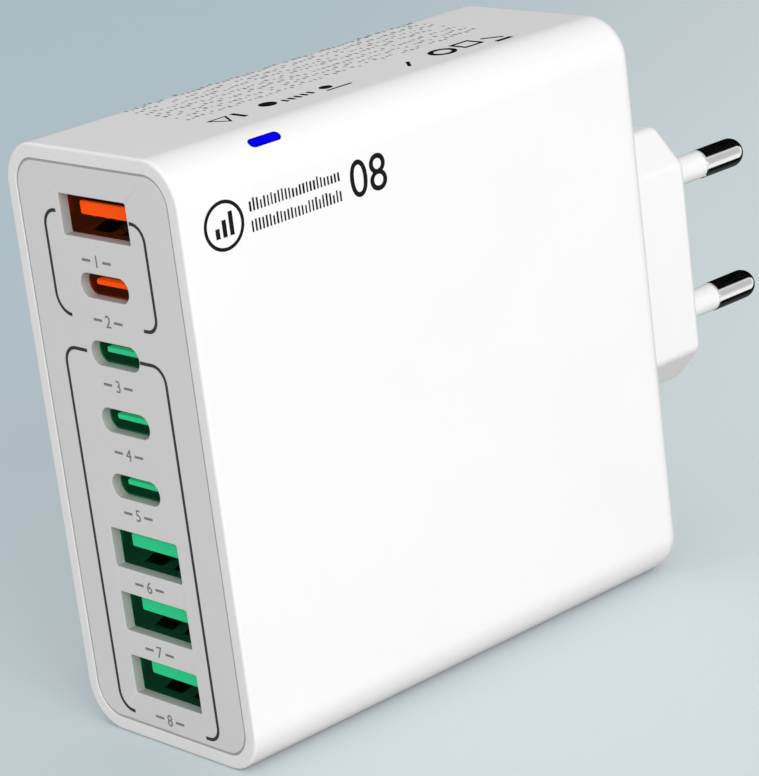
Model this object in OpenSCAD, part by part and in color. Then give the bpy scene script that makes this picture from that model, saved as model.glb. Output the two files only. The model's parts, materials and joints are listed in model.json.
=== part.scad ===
// Wall charger with eight USB sockets in a column and a two-pin plug at the back.
// Millimetres. Z is up, the sockets face -Y, the plug points along +Y.
// The origin is the centre of the housing's bottom face, on which the charger stands.

/* [Housing] */
// Width of the housing, across the sockets
body_w = 32; // [31:0.5:40]
// Depth of the housing, from its front rim to its back face
body_d = 75; // [74:1:100]
// Height of the housing
body_h = 75; // [74.5:0.5:90]
// Radius of the four long corners
corner_r = 5.6; // [4.8:0.1:7]
// Radius of the edge around the back face
rear_fillet = 2.4; // [1.2:0.1:3.2]
// Radius of the edge around the front rim
front_fillet = 0.4; // [0.2:0.1:0.8]
// Wall of the housing
wall = 2.2; // [2:0.1:2.8]

/* [Front panel] */
// Width of the housing's rim that shows around the panel
rim = 1.8; // [1.4:0.1:2]
// How far the panel lies behind the rim
panel_recess = 0.05; // [0:0.05:1]
// Thickness of the panel
panel_t = 1.3; // [1:0.1:2]
// Open line between the panel and the rim
panel_gap = 0.15; // [0.1:0.05:0.25]
// Depth of the skirt behind the panel
skirt_d = 4; // [3:0.5:6]
// Thickness of the skirt
skirt_t = 1; // [0.8:0.1:1.2]
// Width of the snap hooks that hold the panel
hook_w = 6; // [4:0.5:8]
// How far a snap hook reaches into the housing's wall
hook_reach = 0.6; // [0.3:0.1:0.8]

/* [Sockets] */
// Open space between the panel's skirt and the outermost sockets
port_end = 2; // [0.5:0.1:3]
// How far the column's middle lies above the housing's middle
port_rise = 0.2; // [0:0.1:0.6]
// Length of a socket, from the panel to its board
port_len = 14; // [12:0.5:16]
// Sheet metal of a socket's shell
shell_t = 0.3; // [0.2:0.05:0.4]
// Width of a large socket's mouth
a_w = 12.5; // [12.1:0.1:12.8]
// Height of a large socket's mouth
a_h = 5; // [4.9:0.1:5.2]
// Width of a large socket's tongue
a_tongue_w = 10.4; // [10:0.1:11.3]
// Thickness of a large socket's tongue
a_tongue_t = 1.65; // [1.4:0.05:2]
// How far the tongue lies above the middle of a large socket
a_tongue_rise = 0.35; // [0.2:0.05:0.6]
// How far a large tongue's tip lies behind the socket's mouth
a_tongue_back = 0.8; // [0.5:0.1:1.5]
// Height of the springs in the floor of a large socket
spring_h = 0.5; // [0.3:0.1:0.8]
// Width of a spring
spring_w = 1.6; // [1:0.1:2]
// Width of a small socket's opening in the panel
c_w = 9; // [8.8:0.1:9.4]
// Height of a small socket's opening in the panel
c_h = 3; // [2.8:0.1:3.3]
// Width of the panel's edge that overlaps a small socket's shell
c_lip = 0.15; // [0.05:0.05:0.2]
// Width of a small socket's tongue
c_tongue_w = 6.7; // [6.4:0.1:7]
// Thickness of a small socket's tongue
c_tongue_t = 0.7; // [0.6:0.05:0.8]
// How far a small tongue's tip lies behind the socket's mouth
c_tongue_back = 0.2; // [0.1:0.1:1]

/* [Plug] */
// How far the plug stands out of the back face
plug_len = 17.5; // [14:0.5:19]
// Width of the plug
plug_w = 13.7; // [13.2:0.1:14.5]
// Height of the plug, from tip to tip
plug_h = 35.3; // [34.5:0.1:36]
// Height of the plug's straight sides
plug_side_h = 26.1; // [25:0.1:27]
// Width of the plug's two ends
plug_tip_w = 5; // [4.6:0.1:6]
// Radius of the plug's edges
plug_r = 1.6; // [1:0.1:2]
// Wall of the plug
plug_wall = 2.4; // [2:0.1:2.8]

/* [Pins] */
// Diameter of a pin
pin_d = 4; // [3.8:0.05:4.2]
// Distance between the pins
pin_spacing = 19; // [18:0.1:19.5]
// Length of a pin outside the plug
pin_len = 18; // [17:0.5:20]
// Length of the sleeve outside the plug
sleeve_len = 9.5; // [8:0.5:11]
// Diameter of the sleeve, a little under the pin's
sleeve_d = 3.6; // [3.4:0.05:3.65]
// Wall of the sleeve
sleeve_t = 0.4; // [0.3:0.05:0.6]
// Length of the block that carries the pins
holder_len = 9; // [7:0.5:10]
// Length of a pin's solder tail
tail_len = 3; // [2:0.5:4]

/* [Boards] */
// Thickness of a board
board_t = 1.6; // [1.2:0.1:2]
// Open line around a board
board_gap = 0.3; // [0.2:0.05:0.5]
// Height of the rails that hold the main board
rail_h = 2; // [1.5:0.1:2.5]
// Thickness of a rail
rail_t = 1.2; // [1:0.1:1.5]

/* [Indicator] */
// Length of the indicator window
lens_len = 4.7; // [4:0.1:7]
// Width of the indicator window
lens_w = 1.3; // [1:0.1:2]
// Distance from the front rim to the window's middle
lens_back = 15.4; // [13:0.1:20]
// Angle of the window around the long corner
lens_angle = 51; // [40:1:60]

/* [Power parts] */
// Open space between the tallest parts and the wall that they face
head_room = 2.6; // [1:0.1:5]
// Width of the transformer's core
core_w = 22; // [20:0.5:22.5]
// Length of the transformer's core
core_l = 26; // [24:0.5:27]
// Open space between the transformer's winding and the board
core_foot = 2; // [1:0.1:3]
// Diameter of a bulk capacitor
bulk_d = 12.5; // [10:0.5:12.5]
// Diameter of an output capacitor
out_d = 8; // [6.3:0.1:8.4]
// Height of an output capacitor
out_h = 12; // [9:0.5:16]
// Side of an output coil's block
coil_w = 8; // [6:0.5:8.5]
// Height of an output coil's block
coil_h = 4.5; // [3:0.5:6]
// Outer diameter of the choke's ring, with its wire
choke_d = 15; // [12:0.5:15.5]
// Width of the choke's ring
choke_h = 6; // [4:0.5:6.5]
// Diameter of the choke's wire
wire_t = 0.9; // [0.5:0.1:1]
// Diameter of the fuse
fuse_d = 8.4; // [7:0.1:8.6]
// Height of the fuse
fuse_h = 7.6; // [6:0.1:9]
// Width of the rectifier
bridge_w = 12; // [10:0.5:12]
// Thickness of the rectifier
bridge_t = 3.6; // [3:0.1:4]
// Height of the rectifier's block
bridge_h = 9; // [7:0.5:11]
// Length of the mains filter capacitor
x_cap_l = 18; // [15:0.5:18.5]
// Thickness of the mains filter capacitor
x_cap_t = 8; // [6:0.5:8.4]
// Height of the mains filter capacitor
x_cap_h = 14; // [11:0.5:16]
// Diameter of the disc capacitor
y_cap_d = 8; // [7:0.5:10]
// Thickness of the disc capacitor
y_cap_t = 3.6; // [3:0.1:4]
// Length of the heatsink's plate
sink_l = 26; // [20:0.5:26]
// Thickness of the heatsink's plate
sink_t = 1.5; // [1:0.1:2]
// Width of the heatsink's foot
sink_foot = 5; // [3:0.5:5]
// How much lower the heatsink is than the bulk capacitors
sink_drop = 3; // [1:0.5:5]
// Width of the switching transistor
chip_w = 10; // [8:0.5:10.5]
// Thickness of the switching transistor
chip_t = 4.5; // [4:0.1:4.8]
// Length of the legs that show under upright parts
leg_len = 3; // [2:0.5:4]
// Diameter of a mains lead
lead_d = 1.6; // [1:0.1:2]

/* [Hidden] */
$fn = 96;
// Clearance of pieces that slide into one another
fit = 0.05;
// How far a cut runs past the face that it opens
past = 1;

// Kind of each socket, from the top down
port_kinds = ["a", "c", "c", "c", "c", "a", "a", "a"];

// Contacts of the sockets
a_contact_w = 1;
a_contact_t = 0.25;
a_contact_x = [-3.5, -1, 1, 3.5];
c_contact_w = 0.25;
c_contact_t = 0.12;
c_contact_pitch = 0.5;
contact_back = 0.6;
block_len = 4.5;

// Springs of the large sockets
spring_x = [-3, 3];
spring_start = 3;
spring_end = 1.5;
spring_slit = 0.2;

// Snap hooks of the front panel; their levels are shares of the housing's height
hook_levels = [-0.28, 0.28];
hook_len = 1.2;
hook_end = 0.5;
hook_play = 0.1;

// Small parts of the boards
led_l = 1.6;
led_w = 2;
led_t = 1.2;
header_w = 2.5;
header_pitch = 2.54;
header_pins = 12;
header_groove = 0.5;
controller_w = 5;
controller_t = 1;
controller_gap = 1;
can_bead = 2.2;
can_groove = 0.5;

// Depth stations, from the front to the back
front_y = -body_d / 2;
rear_y = body_d / 2;
panel_y = front_y + panel_recess;
mouth_y = panel_y + panel_t;
port_board_y = mouth_y + port_len;
rails_y = port_board_y + board_t;
cavity_end_y = rear_y - wall;
plug_end_y = rear_y + plug_len;
holder_end_y = plug_end_y - plug_wall;
holder_y = holder_end_y - holder_len;

// Inside of the housing
mid_z = body_h / 2;
cavity_w = body_w - 2 * wall;
cavity_h = body_h - 2 * wall;
cavity_r = corner_r - wall;
corner_x = body_w / 2 - corner_r;
corner_z = body_h - corner_r;

// The sockets are spread evenly over the room inside the panel's skirt
ports = len(port_kinds);
port_room = cavity_h - 2 * (panel_gap + skirt_t + port_end + shell_t + port_rise) - a_h;
port_pitch = port_room / (ports - 1);

// Snap hooks, near the skirt's end
hook_y = mouth_y + skirt_d - hook_len - hook_end;

// Springs in the floor of a large socket, which end in front of the block
spring_y = mouth_y + spring_start;
spring_len = port_len - block_len - spring_start - spring_end;

// Main board, which stands upright beside the left wall
main_x = -corner_x;
main_face_x = main_x + board_t;
main_y = rails_y + board_gap;
main_d = cavity_end_y - board_gap - main_y;
main_h = cavity_h - 2 * board_gap;
main_end_y = main_y + main_d;

// Pins
shank_r = sleeve_d / 2 - sleeve_t;
collar_t = 1.2;
collar_r = pin_d / 2 + 2 / 3 * collar_t;
pin_z = [mid_z + pin_spacing / 2, mid_z - pin_spacing / 2];

// Sum of the first n values of a list
function sum(v, n) = n == 0 ? 0 : v[n - 1] + sum(v, n - 1);

// Where the middle of part k lies when parts of these sizes are spread evenly over a length
function middle(sizes, k, length) =
    sum(sizes, k) + sizes[k] / 2 + (k + 1) * (length - sum(sizes, len(sizes))) / (len(sizes) + 1);

// Height above the board's middle of part k in a row that is listed from the top down
function level(sizes, k) = main_h / 2 - middle(sizes, k, main_h);

// Rows of parts on the main board, from its back edge to the front: leads, mains, power, output
row_depths = [1.5 * lead_d, fuse_d, core_w, max(out_d, coil_w)];
lead_row = middle(row_depths, 0, main_d);
mains_row = middle(row_depths, 1, main_d);
power_row = middle(row_depths, 2, main_d);
output_row = middle(row_depths, 3, main_d);
mains_parts = [fuse_d, bridge_w, choke_d, x_cap_l];
power_parts = [max(2 * bulk_d, sink_l), y_cap_t, core_l];
output_parts = [out_d, out_d, out_d, coil_w, coil_w, coil_w];

// Height of the tallest parts above the main board
tall_h = body_w / 2 - wall - main_face_x - head_room;
sink_h = tall_h - sink_drop;

function port_z(i) = mid_z + port_rise + ((ports + 1) / 2 - i) * port_pitch;
function is_a(i) = port_kinds[i - 1] == "a";
function tongue_tip(i) = mouth_y + (is_a(i) ? a_tongue_back : c_tongue_back);
function port_node(i, piece) = str("usb_", port_kinds[i - 1], "_", piece, "_", i);
function port_colour(i) = i < 3 ? "#ff5500" : "#2fcb8b";

// A flat outline in X and Z, drawn out along Y
module along_y(y0, y1) {
    translate([0, y1, 0])
        rotate([90, 0, 0])
            linear_extrude(y1 - y0) children();
}

module quarter_disc(r) {
    intersection() {
        circle(r);
        square(r + past);
    }
}

module rounded_rect(w, h, r) {
    square([w - 2 * r, h], center = true);
    for (s = [-1, 1]) {
        translate([s * (w - r) / 2, 0]) square([r, h - 2 * r], center = true);
    }
    for (a = [0:3]) {
        x = (a == 0 || a == 3) ? 1 : -1;
        y = a < 2 ? 1 : -1;
        translate([x * (w / 2 - r), y * (h / 2 - r)]) rotate(90 * a) quarter_disc(r);
    }
}

// A slot outline with half-round ends
module slot_outline(w, h) {
    square([w - h, h], center = true);
    for (s = [-1, 1]) {
        translate([s * (w - h) / 2, 0])
            rotate(90 - 90 * s)
                intersection() {
                    circle(h / 2);
                    translate([0, -h / 2 - past]) square([h / 2 + past, h + 2 * past]);
                }
    }
}

// Half-section of an edge of radius f, on a corner of radius r
module edge_section(r, f) {
    square([r - f, f]);
    translate([r - f, 0]) quarter_disc(f);
}

// A rounded slab of height f whose upper edge has the radius f
module edge_slab(w, h, r, f) {
    cube_w = w - 2 * r;
    cube_h = h - 2 * r;
    translate([-cube_w / 2, -cube_h / 2, 0]) cube([cube_w, cube_h, f]);
    for (a = [0:3]) {
        x = (a == 0 || a == 3) ? 1 : -1;
        y = a < 2 ? 1 : -1;
        translate([x * cube_w / 2, y * cube_h / 2, 0])
            rotate(90 * a)
                rotate_extrude(angle = 90) edge_section(r, f);
    }
    for (s = [0, 1]) {
        rotate(180 * s) {
            translate([cube_w / 2, cube_h / 2, 0])
                rotate([90, 0, 0])
                    linear_extrude(cube_h) edge_section(r, f);
            translate([-cube_w / 2, cube_h / 2, 0])
                rotate([90, 0, 90])
                    linear_extrude(cube_w) edge_section(r, f);
        }
    }
}

// The housing's outside, as one closed block
module body_block() {
    translate([0, 0, mid_z]) {
        along_y(front_y + front_fillet, rear_y - rear_fillet) rounded_rect(body_w, body_h, corner_r);
        translate([0, rear_y - rear_fillet, 0])
            rotate([-90, 0, 0]) edge_slab(body_w, body_h, corner_r, rear_fillet);
        translate([0, front_y + front_fillet, 0])
            rotate([90, 0, 0]) edge_slab(body_w, body_h, corner_r, front_fillet);
    }
}

// The plug's body between two depths, smaller by inset all round
module plug_form(y0, y1, inset, edge) {
    r = plug_r;
    corners = [
        [plug_w / 2 - r - inset, plug_side_h / 2 - r / 2 - inset / 2],
        [plug_tip_w / 2 - r / 2 - inset / 2, plug_h / 2 - r - inset]
    ];
    translate([0, 0, mid_z])
        hull() {
            for (c = corners, sx = [-1, 1], sz = [-1, 1]) {
                translate([sx * c[0], y0, sz * c[1]])
                    rotate([-90, 0, 0]) cylinder(r = r, h = y1 - y0 - edge, $fn = 32);
                translate([sx * c[0], y1 - edge, sz * c[1]])
                    rotate([-90, 0, 0]) cylinder(r = r - edge, h = edge, $fn = 32);
                if (edge > 0) {
                    translate([sx * c[0], y1 - edge, sz * c[1]]) rotate([-90, 0, 0]) edge_ring(r, edge);
                }
            }
        }
}

// Rounded rim of one corner post of the plug
module edge_ring(r, edge) {
    rotate_extrude($fn = 32)
        translate([r - edge, 0])
            intersection() {
                circle(edge, $fn = 32);
                square(edge);
            }
}

// Places a child around the long corner that holds the indicator
module at_indicator() {
    translate([corner_x, front_y + lens_back, corner_z])
        rotate([0, 90 - lens_angle, 0]) children();
}

module main_rails() {
    // A pair at the top and a pair at the bottom, with the board's edge between them
    for (s = [-1, 1]) {
        for (x = [main_x - fit - rail_t, main_face_x + fit]) {
            z0 = s < 0 ? wall - past : body_h - wall - rail_h;
            translate([x, rails_y, z0])
                cube([rail_t, cavity_end_y - rails_y + past, rail_h + past]);
        }
    }
}

module housing() {
    color("#f4f4f4")
    difference() {
        union() {
            difference() {
                union() {
                    body_block();
                    plug_form(rear_y - past, plug_end_y, 0, plug_r * 0.9);
                }
                // Seat of the front panel
                translate([0, 0, mid_z])
                    along_y(front_y - past, mouth_y)
                        rounded_rect(body_w - 2 * rim, body_h - 2 * rim, corner_r - rim);
                // Hollow of the housing and of the plug
                translate([0, 0, mid_z])
                    along_y(mouth_y - past, cavity_end_y)
                        rounded_rect(cavity_w, cavity_h, cavity_r);
                plug_form(cavity_end_y - past, holder_end_y, plug_wall, 0);
                at_hooks() hook_pocket();
            }
            main_rails();
        }
        for (z = pin_z) {
            translate([0, holder_end_y - past, z])
                rotate([-90, 0, 0]) cylinder(r = sleeve_d / 2 + fit, h = plug_wall + 2 * past);
        }
        at_indicator()
            translate([0, 0, cavity_r - past])
                rotate(90)
                    linear_extrude(wall + 2 * past) slot_outline(lens_len + 2 * fit, lens_w + 2 * fit);
    }
}

// Puts a child at each snap hook, two on the right side and two mirrored on the left
module at_hooks() {
    for (side = [0, 1], level = hook_levels) {
        translate([0, hook_y, mid_z + level * body_h]) mirror([side, 0, 0]) children();
    }
}

// A hook on the skirt's outer face, straight in front and sloped behind
module snap_hook() {
    reach = panel_gap + hook_reach;
    translate([cavity_w / 2 - panel_gap, 0, -hook_w / 2])
        linear_extrude(hook_w)
            polygon([
                [-skirt_t / 2, 0], [reach, 0], [reach, hook_len / 3], [0, hook_len], [-skirt_t / 2, hook_len]
            ]);
}

// The pocket that the hook snaps into
module hook_pocket() {
    translate([cavity_w / 2 - past, -hook_play, -hook_w / 2 - hook_play])
        cube([past + hook_reach + hook_play, hook_len + 2 * hook_play, hook_w + 2 * hook_play]);
}

module front_panel() {
    w = body_w - 2 * rim - 2 * panel_gap;
    h = body_h - 2 * rim - 2 * panel_gap;
    r = corner_r - rim - panel_gap;
    skirt_w = cavity_w - 2 * panel_gap;
    skirt_h = cavity_h - 2 * panel_gap;
    skirt_r = cavity_r - panel_gap;
    color("#c4c4c4")
    difference() {
        union() {
            translate([0, 0, mid_z]) along_y(panel_y, mouth_y) rounded_rect(w, h, r);
            translate([0, 0, mid_z])
                along_y(mouth_y, mouth_y + skirt_d)
                    difference() {
                        rounded_rect(skirt_w, skirt_h, skirt_r);
                        rounded_rect(skirt_w - 2 * skirt_t, skirt_h - 2 * skirt_t, skirt_r - skirt_t);
                    }
            at_hooks() snap_hook();
        }
        for (i = [1:ports]) {
            translate([0, 0, port_z(i)])
                along_y(panel_y - past, mouth_y + past) port_mouth(i);
        }
    }
}

// The opening in the panel in front of a socket
module port_mouth(i) {
    if (is_a(i)) {
        square([a_w, a_h], center = true);
    } else {
        slot_outline(c_w, c_h);
    }
}

// The inside of a socket's shell, smaller by inset all round
module port_hollow(i, inset) {
    if (is_a(i)) {
        square([a_w - 2 * inset, a_h - 2 * inset], center = true);
    } else {
        slot_outline(c_w - 2 * c_lip - 2 * inset, c_h - 2 * c_lip - 2 * inset);
    }
}

module port_shell(i) {
    color("#9c9c9c")
    translate([0, 0, port_z(i)]) {
        difference() {
            along_y(mouth_y, port_board_y)
                difference() {
                    port_hollow(i, -shell_t);
                    port_hollow(i, 0);
                }
            if (is_a(i)) {
                for (x = spring_x) {
                    translate([x - spring_w / 2 - spring_slit, spring_y, -a_h / 2 - shell_t - past])
                        cube([spring_w + 2 * spring_slit, spring_len + spring_slit, shell_t + past + fit]);
                }
            }
        }
        if (is_a(i)) {
            for (x = spring_x) {
                translate([x, spring_y, -a_h / 2]) spring_leaf();
            }
        }
    }
}

// A leaf of the shell's floor, bent up into the socket towards its far end
module spring_leaf() {
    crest = 0.65 * spring_len;
    tip = 0.3 * spring_h;
    translate([-spring_w / 2, 0, 0])
        rotate([90, 0, 90])
            linear_extrude(spring_w)
                polygon([
                    [-fit, 0], [0, 0], [crest, spring_h], [spring_len, tip],
                    [spring_len, tip - shell_t], [crest, spring_h - shell_t], [0, -shell_t], [-fit, -shell_t]
                ]);
}

// The moulded tongue with the block behind it that closes the shell
module port_tongue(i) {
    color(port_colour(i))
    translate([0, 0, port_z(i)])
        difference() {
            union() {
                along_y(tongue_tip(i), port_board_y - block_len) tongue_outline(i);
                along_y(port_board_y - block_len, port_board_y) port_hollow(i, fit);
            }
            along_y(port_board_y - block_len - past, port_board_y + past) contact_outlines(i, fit);
        }
}

module tongue_outline(i) {
    if (is_a(i)) {
        translate([0, a_tongue_rise]) square([a_tongue_w, a_tongue_t], center = true);
    } else {
        square([c_tongue_w, c_tongue_t], center = true);
    }
}

// Cross sections of a socket's contacts, larger by grow all round where they run through the block
module contact_outlines(i, grow) {
    if (is_a(i)) {
        for (x = a_contact_x) {
            translate([x - a_contact_w / 2 - grow, a_tongue_rise - a_tongue_t / 2 - a_contact_t - grow])
                square([a_contact_w + 2 * grow, a_contact_t + 1.001 * grow]);
        }
    } else {
        for (k = [-5.5:5.5], s = [-1, 1]) {
            translate([k * c_contact_pitch, s * (c_tongue_t + c_contact_t) / 2])
                square([c_contact_w + grow, c_contact_t + grow], center = true);
        }
    }
}

module port_contacts(i) {
    color("#d9b25a")
    translate([0, 0, port_z(i)])
        along_y(tongue_tip(i) + contact_back, port_board_y) contact_outlines(i, 0);
}

module indicator_lens() {
    // The outer end follows the housing's corner
    color("#0000ff")
    at_indicator()
        intersection() {
            translate([0, 0, cavity_r])
                rotate(90)
                    linear_extrude(wall + past) slot_outline(lens_len, lens_w);
            translate([0, -lens_len, 0]) rotate([-90, 0, 0]) cylinder(r = corner_r, h = 2 * lens_len);
        }
}

module indicator_led() {
    color("#f7f3d0")
    translate([corner_x, rails_y, corner_z - led_l / 2]) cube([led_w, led_t, led_l]);
}

module pin_holder() {
    color("#e2e2de")
    difference() {
        plug_form(holder_y, holder_end_y, plug_wall + panel_gap, 0);
        for (z = pin_z) {
            translate([0, holder_y - past, z])
                rotate([-90, 0, 0]) cylinder(r = shank_r + fit, h = holder_len + 2 * past);
        }
    }
}

// A pin with its tail, collar, thin shank and full-width tip with a domed end
module pin(z) {
    tip_y = plug_end_y + pin_len;
    color("#d8d8dc")
    translate([0, 0, z])
        rotate([-90, 0, 0]) {
            translate([0, 0, holder_y - collar_t - tail_len]) cylinder(r = shank_r * 0.8, h = tail_len);
            translate([0, 0, holder_y - collar_t]) cylinder(r = collar_r, h = collar_t);
            translate([0, 0, holder_y]) cylinder(r = shank_r, h = plug_end_y + sleeve_len - holder_y);
            translate([0, 0, plug_end_y + sleeve_len])
                cylinder(r = pin_d / 2, h = pin_len - sleeve_len - pin_d / 2);
            intersection() {
                translate([0, 0, tip_y - pin_d / 2]) sphere(r = pin_d / 2);
                translate([0, 0, tip_y - pin_d / 2]) cylinder(r = pin_d, h = pin_d);
            }
        }
}

module live_pin() {
    pin(pin_z[0]);
}

module neutral_pin() {
    pin(pin_z[1]);
}

module sleeve(z) {
    color("#fafafa")
    translate([0, holder_end_y, z])
        rotate([-90, 0, 0])
            difference() {
                cylinder(r = sleeve_d / 2, h = plug_wall + sleeve_len);
                translate([0, 0, -past])
                    cylinder(r = shank_r + fit, h = plug_wall + sleeve_len + 2 * past);
            }
}

module live_sleeve() {
    sleeve(pin_z[0]);
}

module neutral_sleeve() {
    sleeve(pin_z[1]);
}

// A lead from a pin's tail to the main board: straight in, round a bend and across to the board
module lead(z) {
    bend_r = 2 * lead_d;
    tail_y = holder_y - collar_t - tail_len;
    end_y = main_end_y - lead_row;
    translate([0, end_y + bend_r, z]) {
        rotate([-90, 0, 0]) cylinder(d = lead_d, h = tail_y - end_y - bend_r);
        translate([-bend_r, 0, 0])
            rotate([0, 0, -90])
                rotate_extrude(angle = 90) translate([bend_r, 0]) circle(d = lead_d);
    }
    translate([-bend_r, end_y, z])
        rotate([0, -90, 0]) cylinder(d = lead_d, h = -bend_r - main_face_x);
}

module live_lead() {
    color("#7a4a2a") lead(pin_z[0]);
}

module neutral_lead() {
    color("#2b62b8") lead(pin_z[1]);
}

module port_board() {
    color("#1f6b3a")
    translate([0, 0, mid_z])
        along_y(port_board_y, rails_y)
            rounded_rect(cavity_w - 2 * board_gap, cavity_h - 2 * board_gap, cavity_r - board_gap);
}

module main_board() {
    color("#1f6b3a")
    translate([main_x, main_y, wall + board_gap]) cube([board_t, main_d, main_h]);
}

// Puts a child on the main board: its Z stands off the board, its Y runs to the back
module on_board(place) {
    translate([main_face_x, main_end_y - place[0], mid_z + place[1]])
        rotate([0, 90, 0]) children();
}

// The strip that joins the two boards, in the corner between them on the main board's outer side
module board_header() {
    length = header_pins * header_pitch;
    color("#1c1c1c")
    translate([main_x - header_w, rails_y, mid_z - length / 2])
        difference() {
            cube([header_w, header_w, length]);
            for (k = [1:header_pins - 1]) {
                translate([0, header_w, k * header_pitch])
                    cube([2 * header_groove, 2 * header_groove, header_groove], center = true);
            }
        }
}

module fuse() {
    chamfer = 0.4;
    color("#3a2a22")
    on_board([mains_row, level(mains_parts, 0)]) {
        cylinder(d = fuse_d, h = fuse_h - chamfer);
        translate([0, 0, fuse_h - chamfer]) cylinder(d1 = fuse_d, d2 = fuse_d - 2 * chamfer, h = chamfer);
    }
}

// A flat leg under an upright part, along the board at x
module leg(x, y) {
    leg_w = 0.8;
    leg_t = 0.5;
    translate([x - leg_w / 2, y - leg_t / 2, 0]) cube([leg_w, leg_t, leg_len]);
}

module bridge_rectifier() {
    color("#202020")
    on_board([mains_row, level(mains_parts, 1)]) {
        translate([-bridge_w / 2, -bridge_t / 2, leg_len]) cube([bridge_w, bridge_t, bridge_h]);
        for (k = [-1.5:1.5]) {
            leg(k * bridge_w / 4, 0);
        }
    }
}

// A ring with its section between two radii and two heights
module ring(r0, r1, h0, h1) {
    translate([0, 0, h0])
        rotate_extrude() translate([r0, 0]) square([r1 - r0, h1 - h0]);
}

// Stands the choke upright, with one of its windings on the board
module choke_place() {
    on_board([mains_row, level(mains_parts, 2)])
        translate([0, choke_h / 2 + wire_t, choke_d / 2 + fit])
            rotate([90, 0, 0]) children();
}

module choke_core() {
    color("#3c4440")
    choke_place() ring(choke_d / 4, choke_d / 2 - wire_t, wire_t + fit, wire_t + choke_h);
}

// Two windings, each a sleeve around a third of the ring
module choke_winding() {
    color("#b3622b")
    choke_place()
        for (a = [-150, 30]) {
            rotate(a)
                rotate_extrude(angle = 120)
                    difference() {
                        translate([choke_d / 4 - wire_t, 0])
                            square([choke_d / 4 + wire_t, choke_h + 2 * wire_t + fit]);
                        translate([choke_d / 4 - fit, wire_t])
                            square([choke_d / 4 - wire_t + 2 * fit, choke_h + 2 * fit]);
                    }
        }
}

module x_capacitor() {
    color("#d9c24a")
    on_board([mains_row, level(mains_parts, 3)])
        translate([-x_cap_l / 2, -x_cap_t / 2, 0]) cube([x_cap_l, x_cap_t, x_cap_h]);
}

// A disc on two legs, which enter its rim a third of its width apart
module y_capacitor() {
    leg_drop = 1;
    color("#2f5fa8")
    on_board([power_row, level(power_parts, 1)]) {
        translate([-y_cap_t / 2, 0, leg_len - leg_drop + y_cap_d / 2])
            rotate([0, 90, 0]) cylinder(d = y_cap_d, h = y_cap_t);
        for (s = [-1, 1]) {
            leg(0, s * y_cap_d / 6);
        }
    }
}

// A round capacitor: can with a rolled groove near its foot and a rounded top
module can(d, h) {
    r = d / 2;
    g = can_groove;
    rotate_extrude()
        difference() {
            union() {
                square([r, h - g]);
                square([r - g, h]);
                translate([r - g, h - g]) quarter_disc(g);
            }
            translate([r, can_bead]) circle(g, $fn = 48);
        }
}

module bulk_capacitors() {
    color("#2a2e38")
    for (s = [-1, 1]) {
        on_board([power_row - (core_w - bulk_d) / 2, level(power_parts, 0) + s * power_parts[0] / 4])
            can(bulk_d, tall_h);
    }
}

module output_capacitors() {
    color("#b9bcc2")
    for (k = [0:2]) {
        on_board([output_row, level(output_parts, k)]) can(out_d, out_h);
    }
}

// Windows of the transformer's core, on both sides of its middle leg
core_leg = core_w * 3 / 11;
window_w = (core_w - 2 * core_leg) / 2;
window_l = core_l - core_leg;
bobbin_t = 0.8;
coil_t = window_w - bobbin_t - 4 * fit;
core_t = tall_h - core_foot - 2 * window_w;
core_lift = tall_h - window_w - core_t / 2;
transformer_place = [power_row, level(power_parts, 2)];

module transformer_core() {
    color("#4a4a4e")
    on_board(transformer_place)
        translate([0, 0, core_lift - core_t / 2])
            linear_extrude(core_t)
                difference() {
                    square([core_l, core_w], center = true);
                    for (s = [-1, 1]) {
                        translate([0, s * (core_leg + window_w) / 2])
                            square([window_l, window_w], center = true);
                    }
                }
}

// Section across the bobbin, around the core's middle leg, larger by grow all round
module leg_section(grow) {
    square([core_t + 2 * grow, core_leg + 2 * grow], center = true);
}

module transformer_bobbin() {
    spool_l = window_l - 2 * fit;
    flange = window_w - 2 * fit;
    color("#161616")
    on_board(transformer_place)
        difference() {
            union() {
                translate([-spool_l / 2, 0, core_lift])
                    rotate([0, 90, 0]) linear_extrude(spool_l) leg_section(fit + bobbin_t);
                for (x = [-spool_l / 2, spool_l / 2 - bobbin_t]) {
                    translate([x, 0, core_lift])
                        rotate([0, 90, 0]) linear_extrude(bobbin_t) leg_section(flange);
                    // Foot down to the board
                    translate([x, -core_leg / 2, 0]) cube([bobbin_t, core_leg, core_lift - core_t / 2]);
                }
            }
            translate([-core_l / 2, 0, core_lift])
                rotate([0, 90, 0]) linear_extrude(core_l) leg_section(fit);
        }
}

module transformer_winding() {
    coil_l = window_l - 2 * bobbin_t - 4 * fit;
    inner = 2 * fit + bobbin_t;
    color("#e0b83c")
    on_board(transformer_place)
        translate([-coil_l / 2, 0, core_lift])
            rotate([0, 90, 0])
                linear_extrude(coil_l)
                    difference() {
                        leg_section(inner + coil_t - 2 * fit);
                        leg_section(inner);
                    }
}

// Where the heatsink's plate meets the transistor
sink_place = [power_row + core_w / 2 - chip_t, level(power_parts, 0)];

// A folded aluminium plate: a foot on the board and an upright fin
module heatsink() {
    color("#b8bcc0")
    on_board(sink_place) {
        translate([-sink_l / 2, 0, 0]) cube([sink_l, sink_t, sink_h]);
        translate([-sink_l / 2, 0, 0]) cube([sink_l, sink_foot, sink_t]);
    }
}

// The transistor's block lies against the plate and ends a little below its top
module switch_transistor() {
    step = 0.5;
    color("#242424")
    on_board(sink_place) {
        translate([-chip_w / 2, -chip_t, leg_len]) cube([chip_w, chip_t, sink_h - leg_len - step]);
        for (k = [-1:1]) {
            leg(k * chip_w / 4, -chip_t / 2);
        }
    }
}

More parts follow.
